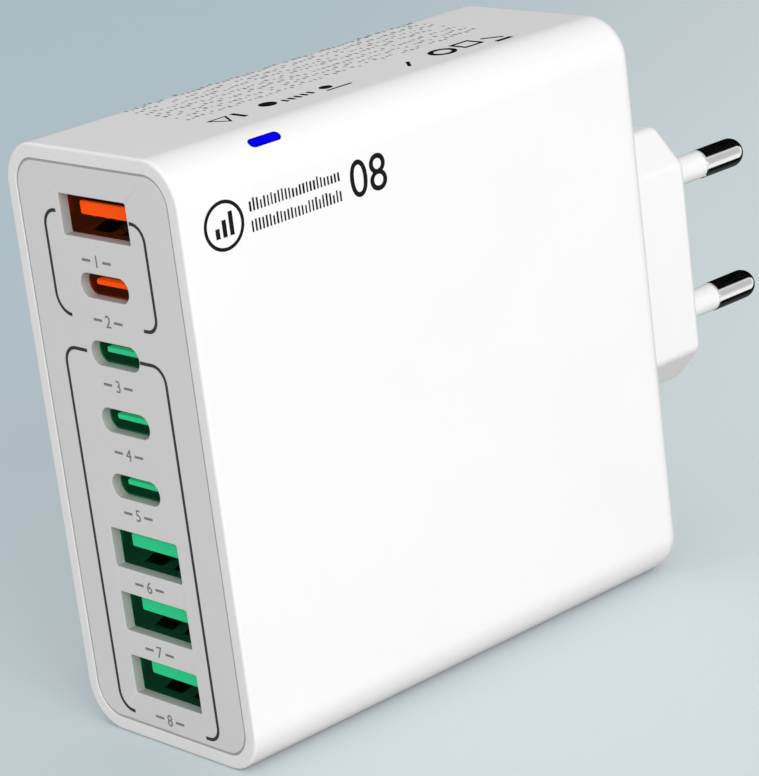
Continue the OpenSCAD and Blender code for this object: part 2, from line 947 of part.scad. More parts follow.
module output_coils() {
    lid_t = 0.4;
    color("#55585c")
    for (k = [3:5]) {
        on_board([output_row, level(output_parts, k)]) {
            translate([-coil_w / 2, -coil_w / 2, 0]) cube([coil_w, coil_w, coil_h]);
            translate([0, 0, coil_h]) cylinder(d = coil_w - 2 * lid_t, h = lid_t);
        }
    }
}

// Charging controllers on the back of the port board, one for two sockets
module protocol_chips() {
    color("#1e1e1e")
    for (k = [1:2:ports - 1]) {
        z = (port_z(k) + port_z(k + 1)) / 2;
        translate([corner_x - controller_w - controller_gap, rails_y, z - controller_w / 2])
            cube([controller_w, controller_t, controller_w]);
    }
}

housing();
front_panel();
indicator_lens();
indicator_led();
pin_holder();
live_pin();
neutral_pin();
live_sleeve();
neutral_sleeve();
live_lead();
neutral_lead();
port_board();
main_board();
board_header();
fuse();
bridge_rectifier();
choke_core();
choke_winding();
x_capacitor();
y_capacitor();
bulk_capacitors();
transformer_core();
transformer_bobbin();
transformer_winding();
heatsink();
switch_transistor();
output_capacitors();
output_coils();
protocol_chips();
for (i = [1:ports]) {
    port_shell(i);
    port_tongue(i);
    port_contacts(i);
}
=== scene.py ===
# Wall charger with eight sockets: its finishes and fine forms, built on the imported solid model.
# Sizes are in millimetres unless a name says otherwise, and mm turns them into metres.
import json
import math

import bmesh
import bpy
from mathutils import Matrix, Vector


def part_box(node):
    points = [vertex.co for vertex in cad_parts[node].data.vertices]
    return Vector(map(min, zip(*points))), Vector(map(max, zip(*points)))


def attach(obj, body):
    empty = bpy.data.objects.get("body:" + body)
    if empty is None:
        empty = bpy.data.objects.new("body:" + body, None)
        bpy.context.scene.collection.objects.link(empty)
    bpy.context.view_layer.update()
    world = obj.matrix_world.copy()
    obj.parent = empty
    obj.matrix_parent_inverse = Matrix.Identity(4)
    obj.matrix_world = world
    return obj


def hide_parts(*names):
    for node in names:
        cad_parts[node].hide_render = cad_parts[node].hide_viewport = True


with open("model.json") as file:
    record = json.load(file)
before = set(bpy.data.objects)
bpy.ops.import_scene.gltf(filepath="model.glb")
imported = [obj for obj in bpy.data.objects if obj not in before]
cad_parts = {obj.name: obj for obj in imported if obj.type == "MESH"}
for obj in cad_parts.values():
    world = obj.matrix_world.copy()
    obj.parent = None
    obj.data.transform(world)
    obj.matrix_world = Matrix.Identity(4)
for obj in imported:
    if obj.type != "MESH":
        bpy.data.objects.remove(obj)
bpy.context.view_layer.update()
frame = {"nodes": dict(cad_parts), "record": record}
nodes = frame["nodes"]
mm = 0.001
socketKinds = ["a", "c", "c", "c", "c", "a", "a", "a"]  # from the top down: a is a large one, c a small one
socketTints = ["orange"] * 2 + ["green"] * 6


def nodeBox(name):
    low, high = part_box(name)
    return [c / mm for c in low], [c / mm for c in high]


def socketPart(i, part):
    return f"usb_{socketKinds[i]}_{part}_{i + 1}"


# Main stations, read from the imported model
bodyLow, bodyHigh = nodeBox("housing")
panelLow, panelHigh = nodeBox("front_panel")
bodyWidth = bodyHigh[0] - bodyLow[0]
bodyHeight = bodyHigh[2] - bodyLow[2]
bodyMidZ = bodyHeight / 2
frontY = bodyLow[1]
plugEndY = bodyHigh[1]
panelY = panelLow[1]
panelThickness = 1.3
seatY = panelY + panelThickness  # where the back of the plate sits on the housing
tongueY = nodeBox(socketPart(0, "tongue"))[0][1]
print("frame loaded,", len(nodes), "nodes")

# Sizes of the housing, its window and the hooks that hold the panel
housing = dict(
    cornerRadius=5.6, rearRadius=2.4, frontRadius=0.4, wall=2.2, rim=1.8, rimEdge=0.06, cornerSteps=16,
    edgeSteps=6, trimSteps=3, plugLength=17.5, plugWidth=13.7, plugHeight=35.3, plugSideHeight=26.1,
    plugTipWidth=5.0, plugRadius=1.6, plugEdge=1.44, plugWall=2.4, plugFoot=0.3, boreClearance=0.05,
    railWidth=1.2, railHeight=2.0, railSlack=0.05, railSunk=0.5, boardThickness=1.6, cutPast=1.0,
)
window = dict(length=4.7, width=1.3, back=15.4, angle=51.0, gap=0.05, shadeWidth=0.45, steps=12)
hook = dict(width=6.0, reach=0.6, length=1.2, end=0.5, play=0.1, levels=(-0.28, 0.28), gap=0.15)
hookY = panelHigh[1] - hook["length"] - hook["end"]


# Colours and materials

def hexColour(text):
    # sRGB hex to the linear values that the shaders expect
    parts = [int(text[i:i + 2], 16) / 255 for i in (0, 2, 4)]
    return (*[c / 12.92 if c <= 0.04045 else ((c + 0.055) / 1.055) ** 2.4 for c in parts], 1.0)


def addNode(tree, kind, inputs=None, **settings):
    # An input takes a value, a colour as hex text, a socket, or a node, which gives its first live output
    node = tree.nodes.new(kind)
    for name, value in settings.items():
        setattr(node, name, value)
    for key, value in (inputs or {}).items():
        if isinstance(value, bpy.types.Node):
            value = next(output for output in value.outputs if output.enabled)
        if isinstance(value, bpy.types.NodeSocket):
            tree.links.new(value, node.inputs[key])
        else:
            node.inputs[key].default_value = hexColour(value) if isinstance(value, str) else value
    return node


def newMaterial(name):
    material = bpy.data.materials.new(name)
    material.use_nodes = True
    material.node_tree.nodes.clear()
    return material, material.node_tree


noiseLow, noiseHigh = 0.25, 0.75  # most of the noise lies between these


def grainField(tree, sizeMm, stretch=(1, 1, 1), detail=3.0):
    # Noise whose features are sizeMm across, in the piece's own metres
    place = addNode(tree, "ShaderNodeTexCoord").outputs["Object"]
    turned = addNode(tree, "ShaderNodeMapping", {"Vector": place, "Scale": stretch})
    return addNode(tree, "ShaderNodeTexNoise", {
        "Vector": turned, "Scale": 1 / (sizeMm * mm), "Detail": detail})


def paintShadeBehind(tree, colour, paintedShadeColour, fromY, toY):
    # Painted shade: the colour turns to a darker one behind the front face, from one depth to the other
    place = addNode(tree, "ShaderNodeTexCoord").outputs["Object"]
    parts = addNode(tree, "ShaderNodeSeparateXYZ", {"Vector": place}).outputs
    depth = addNode(tree, "ShaderNodeMapRange", {
        "Value": parts["Y"], "From Min": fromY * mm, "From Max": toY * mm})
    return addNode(tree, "ShaderNodeMix", {"Factor": depth, "A": colour, "B": paintedShadeColour}, data_type="RGBA")


# What a plastic or a metal has where its own settings don't say otherwise; uneven is how far its roughness
# swings to each side, on a metal as a share of it; lit and litStrength give a painted glow, off unless set
usualPlastic = dict(roughness=0.5, uneven=0.05, driftMm=4, grainMm=0.4, grain=0.1, grainDepthMm=0.01,
                    specular=0.5, lit="FFFFFF", litStrength=0.0)
usualMetal = dict(roughness=0.3, uneven=0.3, cloudMm=5, lineMm=0.2, stretch=(1, 0.1, 1), line=0.1,
                  lineDepthMm=0.004, lit="FFFFFF", litStrength=0.0)


def mouldedPlastic(settings):
    # Injection-moulded plastic: an even body colour, a faint drift in shade and a fine grain from the tool
    s = usualPlastic | settings
    material, tree = newMaterial(s["name"])
    drift = grainField(tree, s["driftMm"], detail=1.0)
    grain = grainField(tree, s["grainMm"])
    colour = addNode(tree, "ShaderNodeMix", {
        "Factor": drift, "A": s["colour"], "B": s["shade"]}, data_type="RGBA")
    # Emission is a painted glow; only the tongues set it
    glow = s["lit"]
    # Painted shade behind the front face; a painted glow is taken away there too
    if "paintedShade" in s:
        paintedShadeColour, fromY, toY = s["paintedShade"]
        colour = paintShadeBehind(tree, colour, paintedShadeColour, fromY, toY)
        if s["litStrength"]:
            glow = paintShadeBehind(tree, glow, "000000", fromY, toY)
    rough = addNode(tree, "ShaderNodeMapRange", {
        "Value": grain, "From Min": noiseLow, "From Max": noiseHigh,
        "To Min": s["roughness"] - s["uneven"], "To Max": s["roughness"] + s["uneven"]})
    bump = addNode(tree, "ShaderNodeBump", {
        "Height": grain, "Strength": s["grain"], "Distance": s["grainDepthMm"] * mm})
    shader = addNode(tree, "ShaderNodeBsdfPrincipled", {
        "Base Color": colour, "Roughness": rough, "Normal": bump, "IOR": 1.5,
        "Specular IOR Level": s["specular"], "Emission Color": glow, "Emission Strength": s["litStrength"]})
    addNode(tree, "ShaderNodeOutputMaterial", {"Surface": shader})
    return material


def platedMetal(settings):
    # Plated or drawn metal: a clean reflection broken by drawing lines that run along one axis
    s = usualMetal | settings
    material, tree = newMaterial(s["name"])
    lines = grainField(tree, s["lineMm"], s["stretch"])
    cloud = grainField(tree, s["cloudMm"], detail=2.0)
    colour = addNode(tree, "ShaderNodeMix", {
        "Factor": cloud, "A": s["colour"], "B": s["shade"]}, data_type="RGBA")
    rough = addNode(tree, "ShaderNodeMapRange", {
        "Value": lines, "From Min": noiseLow, "From Max": noiseHigh,
        "To Min": s["roughness"] * (1 - s["uneven"]), "To Max": s["roughness"] * (1 + s["uneven"])})
    bump = addNode(tree, "ShaderNodeBump", {
        "Height": lines, "Strength": s["line"], "Distance": s["lineDepthMm"] * mm})
    # Emission is a painted glow; only the tinted socket metals set it
    shader = addNode(tree, "ShaderNodeBsdfPrincipled", {
        "Base Color": colour, "Roughness": rough, "Normal": bump, "Metallic": 1.0, "Emission Color": s["lit"],
        "Emission Strength": s["litStrength"]})
    addNode(tree, "ShaderNodeOutputMaterial", {"Surface": shader})
    return material


plastics = {
    # White, soft gloss, the grain only just breaks the highlights
    "white_housing": dict(
        name="satin polycarbonate", colour="F6F6F6", shade="F2F2F2", roughness=0.38, driftMm=18, grainMm=0.45,
        grain=0.06),
    # Dry sheen, drawn coarser than its 0.1 mm grain so that it shows; the walls of its mouths and the rounded
    # edge round the plate, behind its front face, are greyer, as painted shade
    "grey_panel": dict(
        name="fine-grain ABS", colour="E3E3E3", shade="E0E0E0", roughness=0.55, driftMm=14, grain=0.12,
        grainDepthMm=0.015, paintedShade=("B0B2AF", panelY + 0.01, panelY + 0.08)),
    # Glossy; a painted glow at its front face, and painted shade that falls dark behind it
    "orange_tongue": dict(
        name="orange polycarbonate", colour="F04800", shade="E64200", roughness=0.3, driftMm=5, grainMm=0.5,
        grain=0.04, specular=0.12, lit="FF5800", litStrength=0.42,
        paintedShade=("56180A", tongueY + 0.1, tongueY + 0.5)),
    # As the orange one: a painted glow at its front face, painted shade behind it
    "green_tongue": dict(
        name="green polycarbonate", colour="2BC587", shade="24BA7E", roughness=0.3, driftMm=5, grainMm=0.5,
        grain=0.04, specular=0.15, lit="2AC384", litStrength=0.4,
        paintedShade=("0C4A30", tongueY + 0.1, tongueY + 0.5)),
    # Sleeves on the pins: a little glossier than the housing
    "sleeve_plastic": dict(
        name="white PBT", colour="F7F7F7", shade="F1F1F1", roughness=0.3, driftMm=6, grain=0.04),
    # Off-white and dull, with a faint fleck from the fibres
    "holder_plastic": dict(
        name="glass-filled nylon", colour="DEDDD6", shade="CFCDC4", roughness=0.6, driftMm=1.2, grainMm=0.3,
        grain=0.2, grainDepthMm=0.02),
    # Chips and the transformer's bobbin: matt, slightly cloudy
    "black_plastic": dict(
        name="black epoxy moulding", colour="1C1C1D", shade="252527", roughness=0.55, driftMm=3, grainMm=0.25,
        grain=0.2, grainDepthMm=0.02),
    # Dark brown with a dull shine
    "fuse_body": dict(
        name="brown phenolic", colour="3A2A22", shade="2F211B", roughness=0.45, driftMm=3, grainMm=0.3),
    # Box of the mains capacitor: smooth and a little waxy
    "yellow_box": dict(
        name="yellow PBT", colour="D9C24A", shade="CFB540", roughness=0.4, driftMm=5, grain=0.08),
    # Glossy and uneven, as it dries from a dip
    "blue_disc": dict(
        name="dipped blue epoxy", colour="2F5FA8", shade="264F90", roughness=0.2, driftMm=2, grainMm=1.5,
        grain=0.3, grainDepthMm=0.05),
    # Soft extruded insulation of the leads, with a low sheen
    "brown_lead": dict(name="brown PVC", colour="6B4025", shade="5E371F"),
    "blue_lead": dict(name="blue PVC", colour="2B62B8", shade="2556A4"),
    # Light chip: pale yellow and milky
    "led_chip": dict(name="phosphor silicone", colour="F3EBC4", shade="EADF9F", driftMm=1, grainMm=0.2),
    # Dark grey, dull, with a crystalline fleck
    "ferrite": dict(
        name="sintered ferrite", colour="3E3F42", shade="2E2F32", roughness=0.7, driftMm=0.6, grainMm=0.25,
        grain=0.5, grainDepthMm=0.03),
}
metals = {
    # Nearly a mirror, dark where it faces dark
    "pin_metal": dict(
        name="bright nickel plate", colour="F4F4F5", shade="EEEEF0", roughness=0.1, cloudMm=4, lineMm=0.3,
        stretch=(1, 0.08, 1), line=0.02),
    # Rolled sheet: grey with lines along the socket
    "socket_metal": dict(
        name="nickel-plated steel", colour="9A9A9A", shade="8B8B8B", roughness=0.28, lineMm=0.25),
    # Warm and clean
    "contact_metal": dict(
        name="gold-flashed bronze", colour="E3B95C", shade="D9AD50", roughness=0.22, cloudMm=2, line=0.05),
    # Wire: orange-brown under clear enamel
    "copper_wire": dict(
        name="enamelled copper", colour="B8642C", shade="A65722", roughness=0.25, cloudMm=1.5, lineMm=0.9,
        stretch=(1, 1, 0.1), line=0.8),
    # Cans of the output capacitors: faint rings from drawing
    "bare_can": dict(
        name="drawn aluminium", colour="C8CACD", shade="B9BBBE", cloudMm=4, stretch=(0.05, 1, 1), line=0.2),
    # Bulk capacitors: dark film over metal
    "dark_can": dict(
        name="sleeved aluminium", colour="2A2E38", shade="23262F", roughness=0.35, lineMm=0.6,
        stretch=(0.1, 1, 1)),
    # Sheet: straight rolling lines
    "heatsink_plate": dict(
        name="mill-finish aluminium", colour="BFC2C5", shade="B2B5B8", roughness=0.38, cloudMm=6, lineMm=0.15,
        stretch=(1, 1, 0.04), line=0.4),
}
# The sheet metal around an insert is painted dark in the insert's colour, a painted reflection of it, with a
# faint painted glow; its spring leaves are darker still, as painted shade
for tintName, tint in (
        ("orange", dict(colour="7A2A10", shade="6A240E", lit="FF7838", litStrength=0.026)),
        ("green", dict(colour="1B6A42", shade="165E3C", lit="3DA878", litStrength=0.055)),
        ("orange leaf", dict(colour="3A140C", shade="30110A", roughness=0.35)),
        ("green leaf", dict(colour="1C4630", shade="183C29", roughness=0.35))):
    metals[tintName] = dict(name=f"nickel-plated steel, {tintName}", cloudMm=2, lineMm=0.6, line=0.03, **tint)


def litWindow():
    # Blue window with the lamp on: saturated in the middle, navy where the wall of the slot shades it
    material, tree = newMaterial("lit blue polycarbonate")
    angle = math.radians(window["angle"])
    cornerX, cornerZ = bodyWidth / 2 - housing["cornerRadius"], bodyHeight - housing["cornerRadius"]
    across = cornerX * math.sin(angle) - cornerZ * math.cos(angle)
    straight = (window["length"] - window["width"]) / 2
    half = window["width"] / 2
    place = addNode(tree, "ShaderNodeTexCoord").outputs["Object"]
    local = addNode(tree, "ShaderNodeMapping", {
        "Vector": place, "Rotation": (0, angle, 0),
        "Location": (0, -(frontY + window["back"]) * mm, across * mm)})
    parts = addNode(tree, "ShaderNodeSeparateXYZ", {"Vector": local}).outputs
    along = addNode(tree, "ShaderNodeMath", {0: parts["Y"]}, operation="ABSOLUTE")
    past = addNode(tree, "ShaderNodeMath", {0: along, 1: straight * mm}, operation="SUBTRACT")
    past = addNode(tree, "ShaderNodeMath", {0: past, 1: 0.0}, operation="MAXIMUM")
    both = addNode(tree, "ShaderNodeCombineXYZ", {"X": past, "Y": parts["Z"]})
    fromMiddle = addNode(tree, "ShaderNodeVectorMath", {0: both}, operation="LENGTH")
    edge = addNode(tree, "ShaderNodeMapRange", {
        "Value": fromMiddle, "From Min": (half - window["shadeWidth"]) * mm, "From Max": half * mm},
        interpolation_type="SMOOTHSTEP")
    colour = addNode(tree, "ShaderNodeMix", {"Factor": edge, "A": "0000FF", "B": "00009C"}, data_type="RGBA")
    shader = addNode(tree, "ShaderNodeBsdfPrincipled", {
        "Base Color": "000018", "Roughness": 0.3, "Specular IOR Level": 0.1, "Emission Color": colour,
        "Emission Strength": 1.0})
    addNode(tree, "ShaderNodeOutputMaterial", {"Surface": shader})
    return material


def solderMask():
    # Green lacquer over glass fibre: a weave shows faintly through, copper tracks stand up as lighter bands
    material, tree = newMaterial("green solder mask")
    place = addNode(tree, "ShaderNodeTexCoord").outputs["Object"]
    tracks = addNode(tree, "ShaderNodeTexBrick", {
        "Vector": place, "Scale": 1 / (6 * mm), "Mortar Size": 0.04, "Brick Width": 0.7, "Row Height": 0.3,
        "Color1": "1C5E34", "Color2": "1A5830", "Mortar": "2E7F4A"})
    weave = grainField(tree, 0.4)
    bump = addNode(tree, "ShaderNodeBump", {"Height": weave, "Strength": 0.15, "Distance": 0.01 * mm})
    shader = addNode(tree, "ShaderNodeBsdfPrincipled", {
        "Base Color": tracks, "Roughness": 0.3, "Normal": bump})
    addNode(tree, "ShaderNodeOutputMaterial", {"Surface": shader})
    return material


def windingTape():
    # Yellow polyester tape wound over copper: overlapping turns give fine steps, about 4 mm apart; the wave
    # repeats about three times in a length of 1 / Scale
    material, tree = newMaterial("polyester winding tape")
    place = addNode(tree, "ShaderNodeTexCoord").outputs["Object"]
    turns = addNode(tree, "ShaderNodeTexWave", {
        "Vector": place, "Scale": 1 / (3 * 4 * mm), "Distortion": 0.4, "Detail": 1.0},
        bands_direction="Z", wave_profile="SAW").outputs["Fac"]
    colour = addNode(tree, "ShaderNodeMix", {"Factor": turns, "A": "E0B83C", "B": "D2A830"}, data_type="RGBA")
    bump = addNode(tree, "ShaderNodeBump", {"Height": turns, "Strength": 0.3, "Distance": 0.05 * mm})
    shader = addNode(tree, "ShaderNodeBsdfPrincipled", {
        "Base Color": colour, "Roughness": 0.28, "Normal": bump})
    addNode(tree, "ShaderNodeOutputMaterial", {"Surface": shader})
    return material


def printInk(name, colour, shade):
    # Pad-printed ink: a thin matt film, a touch uneven in cover
    material, tree = newMaterial(name)
    cover = grainField(tree, 0.35)
    blend = addNode(tree, "ShaderNodeMix", {"Factor": cover, "A": colour, "B": shade}, data_type="RGBA")
    shader = addNode(tree, "ShaderNodeBsdfPrincipled", {
        "Base Color": blend, "Roughness": 0.6, "Specular IOR Level": 0.1})
    addNode(tree, "ShaderNodeOutputMaterial", {"Surface": shader})
    return material


finish = {slotName: mouldedPlastic(settings) for slotName, settings in plastics.items()}
finish.update({slotName: platedMetal(settings) for slotName, settings in metals.items()})
finish["blue_window"] = litWindow()
finish["circuit_board"] = solderMask()
finish["winding_tape"] = windingTape()
blackInk = printInk("black pad-printed ink", "0C0C0C", "161616")
lineInk = printInk("dark grey pad-printed ink", "3A3A3A", "444444")
greyInk = printInk("grey pad-printed ink", "7C7C7C", "888888")
paleInk = printInk("pale grey pad-printed ink", "8C8C8C", "9C9C9C")

# Every solid of the model gets its finish first; pieces below replace the ones that show
for part in frame["record"]["subparts"]:
    mesh = nodes[part["node"]].data
    mesh.materials.clear()
    mesh.materials.append(finish[part["material_slot"]])
print("materials made,", len(finish), "finishes")


# Mesh helpers

def softOutline(centres, radius, steps):
    # Closed outline around circles: points with their outward normals, counter-clockwise seen from the front
    points = []
    for k, here in enumerate(centres):
        before = centres[k - 1]
        after = centres[(k + 1) % len(centres)]
        start = math.atan2(here[1] - before[1], here[0] - before[0]) - math.pi / 2
        turn = (math.atan2(after[1] - here[1], after[0] - here[0]) - math.pi / 2 - start) % (2 * math.pi)
        for s in range(steps + 1):
            angle = start + turn * s / steps
            nx, nz = math.cos(angle), math.sin(angle)
            points.append((here[0] + radius * nx, here[1] + radius * nz, nx, nz))
    return points


def rectOutline(width, height, radius, midX, midZ, steps):
    dx, dz = width / 2 - radius, height / 2 - radius
    corners = [(dx, -dz), (dx, dz), (-dx, dz), (-dx, -dz)]
    return softOutline([(midX + x, midZ + z) for x, z in corners], radius, steps)


def slotOutline(width, height, midX, midZ, steps):
    reach = (width - height) / 2
    return softOutline([(midX + reach, midZ), (midX - reach, midZ)], height / 2, steps)


def circleOutline(radius, midX, midZ, steps=48):
    return [(midX + radius * math.cos(a), midZ + radius * math.sin(a), math.cos(a), math.sin(a))
            for a in (2 * math.pi * k / steps for k in range(steps))]


def joinRings(bm, a, b):
    for k in range(len(a)):
        j = (k + 1) % len(a)
        bm.faces.new((a[k], a[j], b[j], b[k]))


def loft(bm, outline, stations):
    # Rings of the outline, each inset by so much at its depth, joined by quads
    rings = []
    for inset, y in stations:
        rings.append([bm.verts.new(((x - nx * inset) * mm, y * mm, (z - nz * inset) * mm))
                      for x, z, nx, nz in outline])
    for a, b in zip(rings, rings[1:]):
        joinRings(bm, a, b)
    return rings


def quarterTurn(steps):
    return [math.pi / 2 * k / steps for k in range(steps + 1)]


def roundEdge(radius, steps, inset, y, inward, side=1, rising=False):
    # Stations around an edge: from the side to the end face, or the other way round when rising;
    # side is -1 where the edge runs around an opening
    stations = [(inset + side * radius * (1 - math.cos(a)), y + inward * radius * (math.sin(a) - 1))
                for a in quarterTurn(steps)]
    return stations[::-1] if rising else stations


def fillBetween(bm, rings):
    # Flat face bounded by rings that lie in one plane, with the inner ones as holes
    edges = [bm.edges.get(pair) for ring in rings for pair in zip(ring, ring[1:] + ring[:1])]
    bmesh.ops.triangle_fill(bm, use_beauty=True, use_dissolve=False, edges=edges)


def addBlock(bm, low, high):
    corners = [bm.verts.new((x * mm, y * mm, z * mm)) for z in (low[2], high[2]) for y in (low[1], high[1])
               for x in (low[0], high[0])]
    for face in ((0, 2, 3, 1), (4, 5, 7, 6), (0, 1, 5, 4), (2, 6, 7, 3), (0, 4, 6, 2), (1, 3, 7, 5)):
        bm.faces.new([corners[k] for k in face])


def newObject(name, data):
    made = bpy.data.objects.new(name, data)
    bpy.context.scene.collection.objects.link(made)
    return made


def meshObject(bm, name):
    # Faces are turned outwards and the drawn mesh becomes an object
    bmesh.ops.recalc_face_normals(bm, faces=bm.faces)
    mesh = bpy.data.meshes.new(name)
    bm.to_mesh(mesh)
    bm.free()
    return newObject(name, mesh)


def bakeModifiers(piece):
    # The evaluated mesh takes the place of the modifiers
    depsgraph = bpy.context.evaluated_depsgraph_get()
    depsgraph.update()
    baked = bpy.data.meshes.new_from_object(piece.evaluated_get(depsgraph), depsgraph=depsgraph)
    baked.name = piece.name
    piece.modifiers.clear()
    piece.data = baked


def finishMesh(bm, name, slotName, material=None, sharpDegrees=35, booleans=()):
    # Cleans a drawn mesh, joins or cuts the helper blocks, and gives it shading, finish and body
    bmesh.ops.remove_doubles(bm, verts=bm.verts, dist=1e-7)
    bmesh.ops.dissolve_degenerate(bm, edges=bm.edges, dist=1e-8)
    piece = meshObject(bm, name)
    for operation, helper in booleans:
        modifier = piece.modifiers.new(helper.name, "BOOLEAN")
        modifier.operation = operation
        modifier.solver = "EXACT"
        modifier.object = helper
    if booleans:
        bakeModifiers(piece)
    for operation, helper in booleans:
        bpy.data.objects.remove(helper)  # its shape is in the piece now
    piece.data.shade_smooth()
    piece.data.set_sharp_from_angle(angle=math.radians(sharpDegrees))
    weighted = piece.modifiers.new("flat faces stay flat", "WEIGHTED_NORMAL")
    weighted.keep_sharp = True
    weighted.weight = 100  # the largest faces set the normals
    bakeModifiers(piece)
    piece.data.materials.clear()
    piece.data.materials.append(material or finish[slotName])
    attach(piece, "root")
    return piece


# Housing: rounded box, seat of the panel, window slot and hollow plug in one moulding

pinPlaces = [sum(nodeBox(name)[side][2] for side in (0, 1)) / 2 for name in ("live_pin", "neutral_pin")]
sleeveRadius = 1.9  # half of the standard's 3.8 mm; the solid's is 0.1 mm smaller, to leave room round it


def plugOutline(inset):
    s = housing
    r = s["plugRadius"]
    x1, z1 = s["plugWidth"] / 2 - r - inset, s["plugSideHeight"] / 2 - r / 2 - inset / 2
    x2, z2 = s["plugTipWidth"] / 2 - r / 2 - inset / 2, s["plugHeight"] / 2 - r - inset
    corners = [(x1, -z1), (x1, z1), (x2, z2), (-x2, z2), (-x1, z1), (-x1, -z1), (-x2, -z2), (x2, -z2)]
    return softOutline([(x, bodyMidZ + z) for x, z in corners], r, s["edgeSteps"])


def makeHousing():
    s = housing
    rearY = plugEndY - s["plugLength"]
    cavityEndY = rearY - s["wall"]
    holderY = plugEndY - s["plugWall"]
    outline = rectOutline(bodyWidth, bodyHeight, s["cornerRadius"], 0, bodyMidZ, s["cornerSteps"])
    stations = [(s["wall"], cavityEndY), (s["wall"], seatY), (s["rim"], seatY)]
    stations += roundEdge(s["rimEdge"], s["trimSteps"], s["rim"], frontY, -1, side=-1)
    stations += roundEdge(s["frontRadius"], s["edgeSteps"], 0, frontY, -1, rising=True)
    stations += roundEdge(s["rearRadius"], s["edgeSteps"] * 2, 0, rearY, 1)
    bm = bmesh.new()
    shell = loft(bm, outline, stations)

    # The plug grows out of the back face with a small foot radius
    plugStations = roundEdge(s["plugFoot"], s["trimSteps"], 0, rearY, -1, side=-1, rising=True)
    plugStations += roundEdge(s["plugEdge"], s["edgeSteps"] + 2, 0, plugEndY, 1)
    plug = loft(bm, plugOutline(0), plugStations)
    hollow = loft(bm, plugOutline(s["plugWall"]), [(0, cavityEndY), (0, holderY)])
    fillBetween(bm, [shell[-1], plug[0]])
    fillBetween(bm, [shell[0], hollow[0]])
    bores = [loft(bm, circleOutline(sleeveRadius + s["boreClearance"], 0, z), [(0, holderY), (0, plugEndY)])
             for z in pinPlaces]
    fillBetween(bm, [plug[-1]] + [bore[-1] for bore in bores])
    fillBetween(bm, [hollow[-1]] + [bore[0] for bore in bores])
    piece = finishMesh(bm, "housing_moulding", "white_housing",
                       booleans=(("UNION", boardRails(cavityEndY)), ("DIFFERENCE", housingCuts())))
    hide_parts("housing")


def housingCuts():
    # Window slot along the rounded corner, and pockets for the panel's hooks
    s, gap = housing, window["gap"]
    outer, past = s["cornerRadius"], s["cutPast"]
    cut = bmesh.new()
    slot = slotOutline(window["length"] + 2 * gap, window["width"] + 2 * gap, 0, 0, window["steps"])
    tube = loft(cut, slot, [(0, outer - s["wall"] - past), (0, outer + past)])
    for ring in tube:
        cut.faces.new(ring)
    bmesh.ops.transform(cut, matrix=windowPlace(), verts=cut.verts)
    for low, high in hookBlocks(hook["play"], past):
        addBlock(cut, low, high)
    return meshObject(cut, "window_slot")


def boardRails(endY):
    # Four rails that hold the main board, two at the floor and two at the roof
    s, slack = housing, housing["railSlack"]
    rails = bmesh.new()
    boardX = s["cornerRadius"] - bodyWidth / 2
    startY = nodeBox("main_board")[0][1]
    low, high = s["wall"] - s["railSunk"], s["wall"] + s["railHeight"]
    for x in (boardX - slack - s["railWidth"], boardX + s["boardThickness"] + slack):
        for z0, z1 in ((low, high), (bodyHeight - high, bodyHeight - low)):
            addBlock(rails, (x, startY, z0), (x + s["railWidth"], endY + s["railSunk"], z1))
    return meshObject(rails, "board_rails")


def windowPlace():
    # Turns an outline in X and Z, drawn out along Y, to stand around the long corner
    s = housing
    upright = Matrix.Rotation(math.pi / 2, 4, "Z") @ Matrix.Rotation(math.pi / 2, 4, "X")
    turn = Matrix.Rotation(math.radians(90 - window["angle"]), 4, "Y") @ upright
    corner = (bodyWidth / 2 - s["cornerRadius"], frontY + window["back"], bodyHeight - s["cornerRadius"])
    return Matrix.Translation(Vector(corner) * mm) @ turn


def hookBlocks(play, sunk):
    # Low and high corners of the four snap hooks' boxes, larger by play all round
    inner = bodyWidth / 2 - housing["wall"]
    reach = inner + hook["reach"] + play
    half = hook["width"] / 2 + play
    near, far = hookY - play, hookY + hook["length"] + play
    blocks = []
    for level in hook["levels"]:
        z = bodyMidZ + level * bodyHeight
        for x0, x1 in ((inner - sunk, reach), (-reach, sunk - inner)):
            blocks.append(((x0, near, z - half), (x1, far, z + half)))
    return blocks


makeHousing()
print("housing made")

# Sockets: where each one stands and how large its mouth is

socket = dict(largeWidth=12.5, largeHeight=5.0, largeCorner=0.25, smallWidth=9.0, smallHeight=3.0,
              smallLip=0.15, sheet=0.3, sheetEdge=0.08, cornerSteps=4, roundSteps=14)


def socketHeight(i):
    low, high = nodeBox(socketPart(i, "shell"))
    return (low[2] + high[2]) / 2


def mouthOutline(i, lip=0.0):
    # Outline of a mouth in the panel, smaller by the lip where the socket is a small one
    s, z = socket, socketHeight(i)
    if socketKinds[i] == "a":
        return rectOutline(s["largeWidth"], s["largeHeight"], s["largeCorner"], 0, z, s["cornerSteps"])
    return slotOutline(s["smallWidth"] - 2 * lip, s["smallHeight"] - 2 * lip, 0, z, s["roundSteps"])


def tubeOutline(i):
    # Inner outline of the sheet-metal tube
    return mouthOutline(i, socket["smallLip"])


# Front panel: plate with eight mouths, eased edges, a shallow step round it and a skirt with hooks behind

panel = dict(cornerRadius=3.75, edge=0.1, stepWidth=0.24, gap=0.05, mouthEdge=0.14, skirtInset=0.4,
             skirtThickness=1.0, steps=3, cornerSteps=12)


